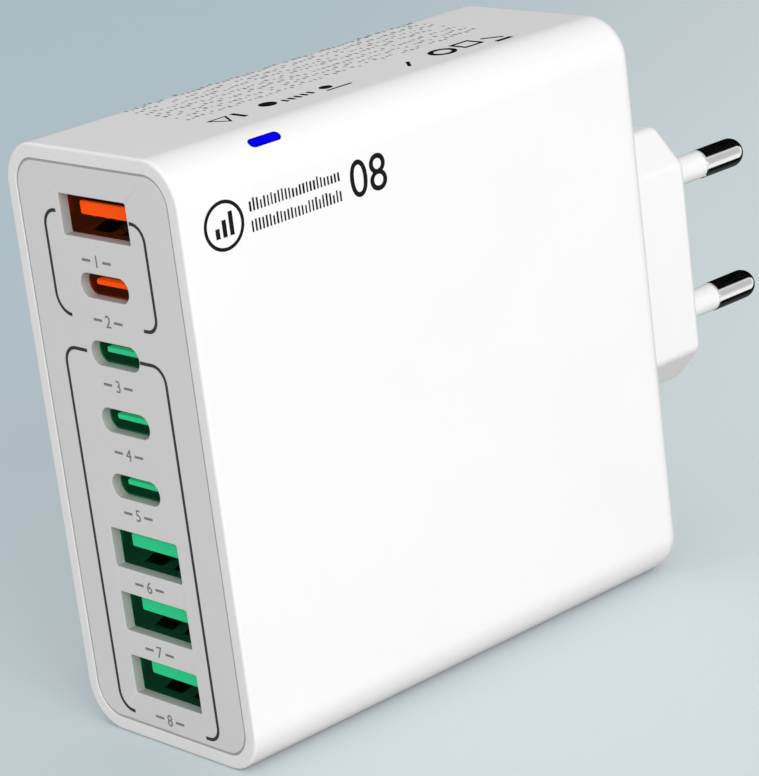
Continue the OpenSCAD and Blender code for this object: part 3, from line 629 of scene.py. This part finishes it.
def makePanel():
    s = panel
    skirtY = panelHigh[1]
    less = 2 * (housing["rim"] + s["gap"])
    width, height = bodyWidth - less, bodyHeight - less
    outline = rectOutline(width, height, s["cornerRadius"], 0, bodyMidZ, s["cornerSteps"])
    outer, inner = s["skirtInset"], s["skirtInset"] + s["skirtThickness"]
    stations = [(inner, seatY), (inner, skirtY), (outer, skirtY), (outer, seatY), (0, seatY),
                (0, panelY + s["edge"])]
    stations += roundEdge(s["edge"], s["steps"], s["stepWidth"], panelY, -1)
    bm = bmesh.new()
    plate = loft(bm, outline, stations)
    fronts, backs = [plate[-1]], [plate[0]]
    eased = roundEdge(s["mouthEdge"], s["steps"], 0, panelY, -1, side=-1, rising=True)
    for i in range(len(socketKinds)):
        rings = loft(bm, mouthOutline(i), eased + [(0, seatY)])
        fronts.append(rings[0])
        backs.append(rings[-1])
    fillBetween(bm, fronts)
    fillBetween(bm, backs)
    piece = finishMesh(bm, "panel_moulding", "grey_panel", booleans=(("UNION", snapHooks()),))
    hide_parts("front_panel")


def snapHooks():
    # The back edge of each hook slopes in to the skirt
    snaps = bmesh.new()
    for low, high in hookBlocks(0.0, hook["gap"] + panel["skirtThickness"] / 2):
        addBlock(snaps, low, high)
    outer = bodyWidth / 2 - housing["wall"]
    for v in snaps.verts:
        if v.co.y > (hookY + hook["length"] / 2) * mm and abs(v.co.x) > outer * mm:
            v.co.x = math.copysign((outer - hook["gap"]) * mm, v.co.x)
    return meshObject(snaps, "snap_hooks")


makePanel()
print("front panel made")

# Sheet-metal tubes of the sockets, and the spring leaves of the large ones

spring = dict(length=4.6, width=3.2, lift=0.7, tip=0.2, crest=0.5, thickness=0.25, fromMouth=1.5, spread=2.75,
              slit=0.2, steps=12, root=0.1, sunk=0.02, cutBelow=1.0, cutAbove=0.05)


def makeTube(i):
    low, high = nodeBox(socketPart(i, "shell"))
    front, back = low[1], high[1]
    edge, outer = socket["sheetEdge"], -socket["sheet"]
    bm = bmesh.new()
    loft(bm, tubeOutline(i), [(0, front + edge), (-edge, front), (outer + edge, front), (outer, front + edge),
                              (outer, back), (0, back), (0, front + edge)])
    tint = socketTints[i]
    booleans = []
    if socketKinds[i] == "a":
        # The spring leaves take the darker tinted metal: painted shade
        booleans.append(("DIFFERENCE", makeSprings(i, front, finish[tint + " leaf"])))
    # The tube takes the tinted metal: a painted reflection of the insert's colour with a faint painted glow
    piece = finishMesh(bm, socketPart(i, "tube"), "socket_metal", finish[tint], booleans=booleans)
    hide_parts(socketPart(i, "shell"))


def springRise(t):
    # Height over the floor along a leaf: up to the crest, then down to the tip
    s = spring
    if t < s["crest"]:
        return s["lift"] * (1 - math.cos(math.pi * t / s["crest"])) / 2
    past = (t - s["crest"]) / (1 - s["crest"])
    return s["tip"] + (s["lift"] - s["tip"]) * (1 + math.cos(math.pi * past)) / 2


def makeSprings(i, frontEnd, material):
    # Two leaves cut from the floor of a large socket and bent up; returns the slits around them
    s = spring
    floorZ = socketHeight(i) - socket["largeHeight"] / 2
    start = frontEnd + s["fromMouth"]
    half = s["width"] / 2
    leaves, slits = bmesh.new(), bmesh.new()
    for x in (-s["spread"], s["spread"]):
        rows = []
        for k in range(-1, s["steps"] + 1):
            t = max(0, k) / s["steps"]
            y = start + s["length"] * t - (s["root"] if k < 0 else 0)
            z = floorZ + springRise(t) - s["sunk"]
            under = z - s["thickness"]
            rows.append([leaves.verts.new((px * mm, y * mm, pz * mm)) for px, pz in (
                (x - half, under), (x + half, under), (x + half, z), (x - half, z))])
        for a, b in zip(rows, rows[1:]):
            joinRings(leaves, a, b)
        leaves.faces.new(rows[0])
        leaves.faces.new(rows[-1])
        reach = half + s["slit"]
        addBlock(slits, (x - reach, start, floorZ - s["cutBelow"]),
                 (x + reach, start + s["length"] + s["slit"], floorZ + s["cutAbove"]))
    # The leaves' material is the darker tinted metal: painted shade
    finishMesh(leaves, socketPart(i, "springs"), "socket_metal", material)
    return meshObject(slits, f"slits_{i}")


for i in range(len(socketKinds)):
    makeTube(i)
print("socket tubes made")

# Coloured inserts: tongue with eased edges and the block behind it

# Large and small: width, thickness, edge radius and rise over the socket's middle
tongue = dict(large=(10.4, 1.65, 0.25, 0.35), small=(6.7, 0.7, 0.2, 0), tipEdge=0.15, blockLength=4.5,
              blockSlack=0.05, steps=4)


def makeTongue(i):
    s, z = tongue, socketHeight(i)
    low, high = nodeBox(socketPart(i, "tongue"))
    tipY, backEnd = low[1], high[1]
    blockY = backEnd - s["blockLength"]
    width, thickness, edge, rise = s["large"] if socketKinds[i] == "a" else s["small"]
    outline = rectOutline(width, thickness, edge, 0, z + rise, s["steps"])
    bm = bmesh.new()
    tip = roundEdge(s["tipEdge"], s["steps"] - 1, 0, tipY, -1, rising=True)
    rings = loft(bm, outline, tip + [(0, blockY)])
    bm.faces.new(rings[0])
    block = loft(bm, tubeOutline(i), [(s["blockSlack"], blockY), (s["blockSlack"], backEnd)])
    fillBetween(bm, [block[0], rings[-1]])
    bm.faces.new(block[-1])
    piece = finishMesh(bm, socketPart(i, "insert"), socketTints[i] + "_tongue")
    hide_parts(socketPart(i, "tongue"))


for i in range(len(socketKinds)):
    makeTongue(i)
print("socket inserts made")

# Pins and sleeves: turned profiles, drawn out along the plug's axis

pin = dict(radius=2.0, tipEase=0.12, domeSteps=10, tail=3.0, tailShare=0.8, collarLength=1.2,
           collarRadius=2.8, sleeveWall=0.4, sleeveEase=0.15, easeShare=0.3, sleeveSlack=0.05, steps=64)


def turnedPiece(name, profile, midZ, slotName, sharpDegrees):
    # Profile points are (radius, y); they run from the axis to the axis, or end where they start
    bm = bmesh.new()
    loft(bm, circleOutline(0, 0, midZ, pin["steps"]), [(-radius, y) for radius, y in profile])
    return finishMesh(bm, name, slotName, sharpDegrees=sharpDegrees)


def makePin(name, midZ):
    s, radius, collar = pin, pin["radius"], pin["collarRadius"]
    low, high = nodeBox(f"{name}_pin")
    sleeveEnd = nodeBox(f"{name}_sleeve")[1][1]
    startY = low[1]
    collarY = startY + s["tail"]
    shankY = collarY + s["collarLength"]
    shank = sleeveRadius - s["sleeveWall"]
    tail = shank * s["tailShare"]
    profile = [(0, startY), (tail, startY), (tail, collarY), (collar, collarY), (collar, shankY),
               (shank, shankY), (shank, sleeveEnd), (radius - s["tipEase"], sleeveEnd),
               (radius, sleeveEnd + s["tipEase"])]
    centre = high[1] - radius
    profile += [(radius * math.cos(a), centre + radius * math.sin(a)) for a in quarterTurn(s["domeSteps"])]
    piece = turnedPiece(f"{name}_contact_pin", profile, midZ, "pin_metal", sharpDegrees=40)
    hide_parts(f"{name}_pin")


def makeSleeve(name, midZ):
    s, outer = pin, sleeveRadius
    low, high = nodeBox(f"{name}_sleeve")
    start, end = low[1], high[1]
    inner = outer - s["sleeveWall"] + s["sleeveSlack"]
    ease = s["sleeveEase"]
    eased = ease * s["easeShare"]
    profile = [(inner, start), (outer, start), (outer, end - ease), (outer - eased, end - eased),
               (outer - ease, end), (inner, end), (inner, start)]
    piece = turnedPiece(f"{name}_pin_sleeve", profile, midZ, "sleeve_plastic", sharpDegrees=50)
    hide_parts(f"{name}_sleeve")


for name, midZ in zip(("live", "neutral"), pinPlaces):
    makePin(name, midZ)
    makeSleeve(name, midZ)
print("pins made")

# Print: thin films of ink that stand a little out of the surface

ink = dict(film=0.03, sunk=0.02)


def inkPiece(bm, name, material):
    bmesh.ops.remove_doubles(bm, verts=bm.verts, dist=1e-7)
    piece = meshObject(bm, name)
    piece.data.materials.append(material)
    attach(piece, "root")


# A surface maps (u, v, lift) in millimetres to a point on the object

def onPanel(u, v, lift):
    return (u, panelY - lift, v)


def onSide(u, v, lift):
    return (bodyWidth / 2 + lift, u, v)


def onTop(u, v, lift):
    # u runs along the housing to the back, v across it
    return (v, u, bodyHeight + lift)


def addPatch(bm, points, surface):
    # Flat closed patch of ink from an outline
    under, over = ([bm.verts.new(Vector(surface(u, v, lift)) * mm) for u, v in points]
                   for lift in (-ink["sunk"], ink["film"]))
    bm.faces.new(under)
    bm.faces.new(over)
    joinRings(bm, under, over)


def addBar(bm, u0, v0, u1, v1, surface):
    addPatch(bm, [(u0, v0), (u1, v0), (u1, v1), (u0, v1)], surface)


def addStroke(bm, points, width, surface, closed=False):
    # A line of even width along points
    last = len(points) - 1
    sections = []
    for k, (u, v) in enumerate(points):
        before = points[k - 1] if closed or k else points[k]
        after = points[(k + 1) % len(points)] if closed or k < last else points[k]
        along = Vector((after[0] - before[0], after[1] - before[1])).normalized() * width / 2
        left, right = (u - along.y, v + along.x), (u + along.y, v - along.x)
        low, high = -ink["sunk"], ink["film"]
        sections.append([bm.verts.new(Vector(surface(*place)) * mm) for place in (
            (*left, low), (*right, low), (*right, high), (*left, high))])
    for a, b in zip(sections, sections[1:]):
        joinRings(bm, a, b)
    if closed:
        joinRings(bm, sections[-1], sections[0])
    else:
        bm.faces.new(sections[0])
        bm.faces.new(sections[-1])


def arcPoints(midU, midV, radius, start, end, steps):
    return [(midU + radius * math.cos(math.radians(a)), midV + radius * math.sin(math.radians(a)))
            for a in (start + (end - start) * k / steps for k in range(steps + 1))]


def circlePoints(midU, midV, radius, count):
    return arcPoints(midU, midV, radius, 0, 360, count)[:-1]


def addNumber(text, height, midU, midV, surface, name, material, stretch=1.0):
    # Plain numerals from Blender's own font, made a mesh and laid on the surface
    curve = bpy.data.curves.new(name, "FONT")
    curve.body = text
    curve.align_x = "CENTER"
    curve.align_y = "CENTER"
    curve.resolution_u = 6
    holder = newObject(name, curve)
    depsgraph = bpy.context.evaluated_depsgraph_get()
    flat = bpy.data.meshes.new_from_object(holder.evaluated_get(depsgraph), depsgraph=depsgraph)
    bpy.data.objects.remove(holder)
    bm = bmesh.new()
    bm.from_mesh(flat)
    bpy.data.meshes.remove(flat)
    bmesh.ops.remove_doubles(bm, verts=bm.verts, dist=1e-5)
    xs = [v.co.x for v in bm.verts]
    ys = [v.co.y for v in bm.verts]
    scale = height / (max(ys) - min(ys))
    midX, midY = (max(xs) + min(xs)) / 2, (max(ys) + min(ys)) / 2
    extruded = bmesh.ops.extrude_face_region(bm, geom=list(bm.faces))
    raised = {v for v in extruded["geom"] if isinstance(v, bmesh.types.BMVert)}
    for v in bm.verts:
        u = midU + (v.co.x - midX) * scale * stretch
        w = midV + (v.co.y - midY) * scale
        v.co = Vector(surface(u, w, ink["film"] if v in raised else -ink["sunk"])) * mm
    inkPiece(bm, name, material)


# Bracket lines and numerals on the panel

# Each line: side (-1 left), x, start, height at the top, corner radius at the foot, height at the foot, end
brackets = dict(width=0.42, radius=2.1, steps=10, lines=(
    (-1, -9.6, -7.2, 67.15, 2.5, 54.4, -7.2), (1, 8.98, 6.6, 67.05, 1.8, 54.2, 6.4),
    (-1, -9.7, -5.3, 50.2, 2.3, 3.3, -7.1), (1, 9.05, 4.7, 50.1, 1.8, 3.05, 6.5)))
labels = dict(midX=-0.27, firstShift=-0.47, heights=(61.65, 54.4, 46.4, 37.9, 30.2, 21.0, 12.6, 3.65),
              numeral=1.5, barLength=1.55, barWidth=0.3, barGap=1.15)


def bracketLine(side, x, start, topZ, footRadius, footZ, end):
    r, steps = brackets["radius"], brackets["steps"]
    upper = arcPoints(x - side * r, topZ - r, r, 90, 90 - side * 90, steps)
    lower = arcPoints(x - side * footRadius, footZ + footRadius, footRadius, -90 + side * 90, -90, steps)
    return [(start, topZ)] + upper + lower + [(end, footZ)]


def makePanelPrint():
    # Plain numbers stand between two short bars under the sockets
    s = labels
    lines = bmesh.new()
    for line in brackets["lines"]:
        addStroke(lines, bracketLine(*line), brackets["width"], onPanel)
    inkPiece(lines, "panel_lines", lineInk)
    bars = bmesh.new()
    for i, z in enumerate(s["heights"]):
        x = s["midX"] + (s["firstShift"] if i == 0 else 0)
        for side in (-1, 1):
            near, far = x + side * s["barGap"], x + side * (s["barGap"] + s["barLength"])
            addStroke(bars, [(near, z), (far, z)], s["barWidth"], onPanel)
        addNumber(str(i + 1), s["numeral"], x, z, onPanel, f"socket_number_{i + 1}", greyInk)
    inkPiece(bars, "number_bars", greyInk)


makePanelPrint()
print("panel print made")

# Print on the broad side: ring with rising bars, two rows of fine bars and the number of sockets

sidePrint = dict(ringY=-31.3, ringZ=66.2, ringRadius=2.75, ringWidth=0.42, ringSteps=64,
                 barRises=(1.2, 2.0, 2.8), barPitch=1.05, barHalf=0.3, barDrop=1.35, rowMidY=-20.4,
                 rowLength=13.6, rowFeet=(66.75, 64.35), numberY=-9.0, numberZ=66.3, numberHeight=4.5,
                 numberStretch=0.95)


def makeSidePrint():
    s = sidePrint
    bm = bmesh.new()
    ring = circlePoints(s["ringY"], s["ringZ"], s["ringRadius"], s["ringSteps"])
    addStroke(bm, ring, s["ringWidth"], onSide, closed=True)
    base = s["ringZ"] - s["barDrop"]
    for k, rise in enumerate(s["barRises"]):
        u = s["ringY"] + (k - 1) * s["barPitch"]
        addBar(bm, u - s["barHalf"], base, u + s["barHalf"], base + rise, onSide)
    inkPiece(bm, "side_ring", blackInk)
    addNumber("08", s["numberHeight"], s["numberY"], s["numberZ"], onSide, "side_number", blackInk,
              stretch=s["numberStretch"])


def barRowsTree():
    # Rows of short bars that stand on a line, each with its own length and height, like a block of fine print
    tree = bpy.data.node_groups.new("bar rows", "GeometryNodeTree")
    sizes = {"Rows": 2, "Row Pitch": 2.4, "Row Length": 13.0, "Bars": 11, "Lowest": 0.9, "Tallest": 1.4,
             "Shortest": 0.35, "Longest": 0.9, "Left Out": 0.0, "Wander": 0.0, "Film": 0.05, "Seed": 4}
    for label, value in sizes.items():
        kind = "NodeSocketInt" if isinstance(value, int) else "NodeSocketFloat"
        tree.interface.new_socket(label, in_out="INPUT", socket_type=kind).default_value = value
    tree.interface.new_socket("Ink", in_out="INPUT", socket_type="NodeSocketMaterial")
    tree.interface.new_socket("Geometry", in_out="OUTPUT", socket_type="NodeSocketGeometry")
    given = addNode(tree, "NodeGroupInput").outputs
    spareRows = addNode(tree, "ShaderNodeMath", {0: given["Rows"], 1: 1.0}, operation="SUBTRACT")
    blockHeight = addNode(tree, "ShaderNodeMath", {0: spareRows, 1: given["Row Pitch"]}, operation="MULTIPLY")
    grid = addNode(tree, "GeometryNodeMeshGrid", {
        "Size X": given["Row Length"], "Size Y": blockHeight, "Vertices X": given["Bars"],
        "Vertices Y": given["Rows"]})
    chance = addNode(tree, "FunctionNodeRandomValue", {
        "Probability": given["Left Out"], "Seed": given["Seed"]}, data_type="BOOLEAN")
    kept = addNode(tree, "GeometryNodeDeleteGeometry", {
        "Geometry": grid, "Selection": chance}, domain="POINT")
    unsteady = addNode(tree, "FunctionNodeRandomValue", {2: -0.5, 3: 0.5, "Seed": 17}, data_type="FLOAT")
    shift = addNode(tree, "ShaderNodeMath", {0: unsteady, 1: given["Wander"]}, operation="MULTIPLY")
    offset = addNode(tree, "ShaderNodeCombineXYZ", {"Y": shift})
    moved = addNode(tree, "GeometryNodeSetPosition", {"Geometry": kept, "Offset": offset})
    share = addNode(tree, "FunctionNodeRandomValue", {
        2: given["Shortest"], 3: given["Longest"], "Seed": given["Seed"]}, data_type="FLOAT")
    rise = addNode(tree, "FunctionNodeRandomValue", {
        2: given["Lowest"], 3: given["Tallest"], "Seed": 11}, data_type="FLOAT")
    spacing = addNode(tree, "ShaderNodeMath", {0: given["Row Length"], 1: given["Bars"]}, operation="DIVIDE")
    barLength = addNode(tree, "ShaderNodeMath", {0: spacing, 1: share}, operation="MULTIPLY")
    size = addNode(tree, "ShaderNodeCombineXYZ", {"X": barLength, "Y": rise, "Z": given["Film"]})
    cube = addNode(tree, "GeometryNodeMeshCube", {"Size": (1, 1, 1)})
    standing = addNode(tree, "GeometryNodeTransform", {"Geometry": cube, "Translation": (0, 0.5, 0)})
    placed = addNode(tree, "GeometryNodeInstanceOnPoints", {
        "Points": moved, "Instance": standing, "Scale": size})
    real = addNode(tree, "GeometryNodeRealizeInstances", {"Geometry": placed})
    inked = addNode(tree, "GeometryNodeSetMaterial", {"Geometry": real, "Material": given["Ink"]})
    addNode(tree, "NodeGroupOutput", {"Geometry": inked})
    return tree


def growPiece(name, tree, values, surface):
    # Runs a node tree, takes the result as a plain mesh and maps it onto the surface
    piece = newObject(name, bpy.data.meshes.new(name))
    modifier = piece.modifiers.new(tree.name, "NODES")
    modifier.node_group = tree
    for item in tree.interface.items_tree:
        if item.in_out == "INPUT" and item.name in values:
            modifier[item.identifier] = values[item.name]
    bakeModifiers(piece)
    bm = bmesh.new()
    bm.from_mesh(piece.data)
    for v in bm.verts:
        v.co = Vector(surface(*v.co)) * mm
    bmesh.ops.recalc_face_normals(bm, faces=bm.faces)
    bm.to_mesh(piece.data)
    bm.free()
    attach(piece, "root")


makeSidePrint()
barRows = barRowsTree()
rowMidY = sidePrint["rowMidY"]
rowMidZ = sum(sidePrint["rowFeet"]) / 2
growPiece("side_rows", barRows, {
    "Rows": 2, "Row Pitch": sidePrint["rowFeet"][0] - sidePrint["rowFeet"][1],
    "Row Length": sidePrint["rowLength"], "Bars": 26, "Lowest": 0.95, "Tallest": 1.55,
    "Shortest": 0.35, "Longest": 0.55, "Film": 2 * ink["film"], "Seed": 5, "Ink": blackInk},
    lambda u, v, lift: onSide(rowMidY + u, rowMidZ + v, lift))

# Print on the top face: rows of fine bars on one half, a row of plain shapes from front to back on the other

topPrint = dict(rows=7, pitch=1.95, length=47.5, midY=1.25, firstX=-10.6)
topMidX = topPrint["firstX"] + topPrint["pitch"] * (topPrint["rows"] - 1) / 2
growPiece("top_rows", barRows, {
    "Rows": topPrint["rows"], "Row Pitch": topPrint["pitch"], "Row Length": topPrint["length"], "Bars": 60,
    "Lowest": 0.25, "Tallest": 0.75, "Shortest": 0.25, "Longest": 0.6, "Left Out": 0.1, "Wander": 0.9,
    "Film": 2 * ink["film"], "Seed": 9, "Ink": paleInk},
    lambda u, v, lift: onTop(topPrint["midY"] + u, topMidX - v, lift))

# Strokes: width and points. Outlines: width and corners. Bars: start and end along, then across.
# Discs: middle, radius. The ring: middle, radius, width, steps. The comb: start, pitch, count, width, sides
marks = dict(
    strokes=((0.35, (-6.0, 7.1), (-2.0, 7.1)), (0.45, (6.9, 7.9), (8.5, 5.8)),
             (0.45, (20.9, 6.0), (23.0, 8.0))),
    outlines=((0.5, (-22.3, 4.4), (-19.7, 4.4), (-21.0, 7.0)),
              (0.65, (16.8, 4.9), (19.6, 4.9), (19.6, 7.6), (16.8, 7.6))),
    bars=((-18.9, -18.3, 4.2, 7.0), (20.6, 23.2, 8.8, 9.5)), discs=((-13.5, 4.9, 1.15), (-4.8, 5.5, 0.85)),
    discSteps=24, ring=(14.0, 6.3, 1.5, 0.7, 45), comb=(-11.7, 1.0, 5, 0.45, 5.1, 6.4))


def makeTopMarks():
    bm = bmesh.new()
    for key in ("strokes", "outlines"):
        for width, *points in marks[key]:
            addStroke(bm, points, width, onTop, closed=key == "outlines")
    y, x, radius, width, steps = marks["ring"]
    addStroke(bm, circlePoints(y, x, radius, steps), width, onTop, closed=True)
    for y, x, radius in marks["discs"]:
        addPatch(bm, circlePoints(y, x, radius, marks["discSteps"]), onTop)
    start, pitch, count, width, near, far = marks["comb"]
    teeth = [(start + k * pitch, start + k * pitch + width, near, far) for k in range(count)]
    for y0, y1, x0, x1 in (*marks["bars"], *teeth):
        addBar(bm, y0, x0, y1, x1, onTop)
    inkPiece(bm, "top_marks", blackInk)


makeTopMarks()
print("side and top print made")

# Floor, light and camera

# The reflected studio: a bright card along one side of the plug's axis, a dark end behind the plug and a soft
# room towards the sockets' side; angles in degrees, the floor's size and its fade in metres
stage = dict(size=40.0, near="DAE5E7", far="C0D2DA", bounce="C9C9C9", fadeFrom=-0.16, fadeTo=0.05,
             fadeTurn=-31.0, sky="BBCACF", worldLight=0.72, inCard=0.3,
             card=((-170, 0.0), (-140, 0.08), (-85, 0.03), (-62, 0.0), (-48, 0.0), (-43, 1.0), (-20, 1.0),
                   (-6, 0.64), (4, 0.59), (28, 0.57), (39, 0.75), (46, 0.7), (51, 0.0)),
             cardEnd=(0.82, 0.93), roomEnd=(0.4, 0.1), roomRise=(-0.5, 0.6), roomLevel=(0.05, 0.6))


def makeFloor():
    # Pale blue-grey paper, a little darker towards the far left; it throws back neutral light
    mesh = bpy.data.meshes.new("floor")
    half = stage["size"] / 2
    corners = [(-half, -half, 0), (half, -half, 0), (half, half, 0), (-half, half, 0)]
    mesh.from_pydata(corners, [], [(0, 1, 2, 3)])
    floor = newObject("floor", mesh)
    material, tree = newMaterial("pale blue-grey paper")
    place = addNode(tree, "ShaderNodeTexCoord").outputs["Object"]
    turned = addNode(tree, "ShaderNodeMapping", {
        "Vector": place, "Rotation": (0, 0, math.radians(stage["fadeTurn"]))})
    parts = addNode(tree, "ShaderNodeSeparateXYZ", {"Vector": turned}).outputs
    fade = addNode(tree, "ShaderNodeMapRange", {
        "Value": parts["X"], "From Min": stage["fadeFrom"], "From Max": stage["fadeTo"]},
        interpolation_type="SMOOTHSTEP")
    paper = addNode(tree, "ShaderNodeMix", {
        "Factor": fade, "A": stage["far"], "B": stage["near"]}, data_type="RGBA")
    ray = addNode(tree, "ShaderNodeLightPath").outputs
    seen = addNode(tree, "ShaderNodeMix", {
        "Factor": ray["Is Camera Ray"], "A": stage["bounce"], "B": paper}, data_type="RGBA")
    shader = addNode(tree, "ShaderNodeBsdfDiffuse", {"Color": seen})
    addNode(tree, "ShaderNodeOutputMaterial", {"Surface": shader})
    mesh.materials.append(material)
    floor.visible_glossy = False


def makeWorld():
    world = bpy.data.worlds.new("studio")
    bpy.context.scene.world = world
    world.use_nodes = True
    tree = world.node_tree
    tree.nodes.clear()
    ray = addNode(tree, "ShaderNodeLightPath").outputs
    place = addNode(tree, "ShaderNodeTexCoord").outputs["Generated"]
    direction = addNode(tree, "ShaderNodeSeparateXYZ", {"Vector": place}).outputs
    angle = addNode(tree, "ShaderNodeMath", {0: direction["Z"], 1: direction["X"]}, operation="ARCTAN2")
    share = addNode(tree, "ShaderNodeMapRange", {"Value": angle, "From Min": -math.pi, "From Max": math.pi})
    card = addNode(tree, "ShaderNodeValToRGB", {"Fac": share})
    stops = card.color_ramp.elements
    for k, (degrees, level) in enumerate(stage["card"]):
        stop = stops[k] if k < 2 else stops.new((degrees + 180) / 360)
        stop.position = (degrees + 180) / 360
        stop.color = (level, level, level, 1)
    inCard = addNode(tree, "ShaderNodeMath", {0: card, 1: stage["inCard"]}, operation="GREATER_THAN")
    end = addNode(tree, "ShaderNodeMapRange", {
        "Value": direction["Y"], "From Min": stage["cardEnd"][0], "From Max": stage["cardEnd"][1]})
    endLight = addNode(tree, "ShaderNodeMath", {0: inCard, 1: end}, operation="MULTIPLY")
    level = addNode(tree, "ShaderNodeMath", {0: endLight, 1: card}, operation="MAXIMUM")
    # The rest of the room, towards the sockets' side, rises softly from dark below to light above
    room = addNode(tree, "ShaderNodeMapRange", {
        "Value": direction["Y"], "From Min": stage["roomEnd"][0], "From Max": stage["roomEnd"][1]})
    rise = addNode(tree, "ShaderNodeMapRange", {
        "Value": direction["Z"], "From Min": stage["roomRise"][0], "From Max": stage["roomRise"][1],
        "To Min": stage["roomLevel"][0], "To Max": stage["roomLevel"][1]})
    roomLight = addNode(tree, "ShaderNodeMath", {0: room, 1: rise}, operation="MULTIPLY")
    level = addNode(tree, "ShaderNodeMath", {0: level, 1: roomLight}, operation="MAXIMUM")
    soft = addNode(tree, "ShaderNodeBackground", {"Color": "FFFFFF", "Strength": stage["worldLight"]})
    reflected = addNode(tree, "ShaderNodeBackground", {"Color": "FFFFFF", "Strength": level})
    paper = addNode(tree, "ShaderNodeBackground", {"Color": stage["sky"], "Strength": 1.0})
    mix = addNode(tree, "ShaderNodeMixShader", {0: ray["Is Glossy Ray"], 1: soft, 2: reflected})
    seen = addNode(tree, "ShaderNodeMath", {
        0: ray["Is Camera Ray"], 1: ray["Is Transmission Ray"]}, operation="MAXIMUM")
    mix = addNode(tree, "ShaderNodeMixShader", {0: seen, 1: mix, 2: paper})
    addNode(tree, "ShaderNodeOutputWorld", {"Surface": mix})


# Places and size in metres, power in watts
softbox = dict(place=(1.06, -0.39, 0.37), target=(0, 0, 0.04), size=0.9, power=8.45)


def makeSoftbox():
    light = bpy.data.lights.new("side_softbox", "AREA")
    light.shape = "RECTANGLE"
    light.size = light.size_y = softbox["size"]
    light.energy = softbox["power"]
    lamp = newObject("side_softbox", light)
    lamp.location = softbox["place"]
    aim = Vector(softbox["target"]) - Vector(softbox["place"])
    lamp.rotation_euler = aim.to_track_quat("-Z", "Y").to_euler()


view = dict(place=(286.6628, -244.8888, 154.7798), target=(0.0, 2.3189, 33.9589), rollDegrees=-7.3553,
            lens=146.353, sensor=36)


def makeCamera():
    # The photograph's viewpoint; its long side takes the whole sensor
    place, target = Vector(view["place"]) * mm, Vector(view["target"]) * mm
    forward = (target - place).normalized()
    right = forward.cross(Vector((0, 0, 1))).normalized()
    up = right.cross(forward)
    roll = math.radians(view["rollDegrees"])
    right, up = right * math.cos(roll) + up * math.sin(roll), up * math.cos(roll) - right * math.sin(roll)
    camera = newObject("camera", bpy.data.cameras.new("camera"))
    camera.data.lens = view["lens"]
    camera.data.sensor_width = view["sensor"]
    camera.data.clip_start = 0.01
    camera.matrix_world = Matrix.Translation(place) @ Matrix((right, up, -forward)).transposed().to_4x4()
    bpy.context.scene.camera = camera


makeFloor()
makeWorld()
makeSoftbox()
makeCamera()
bpy.context.scene.view_settings.view_transform = "Standard"
print("stage and camera set")
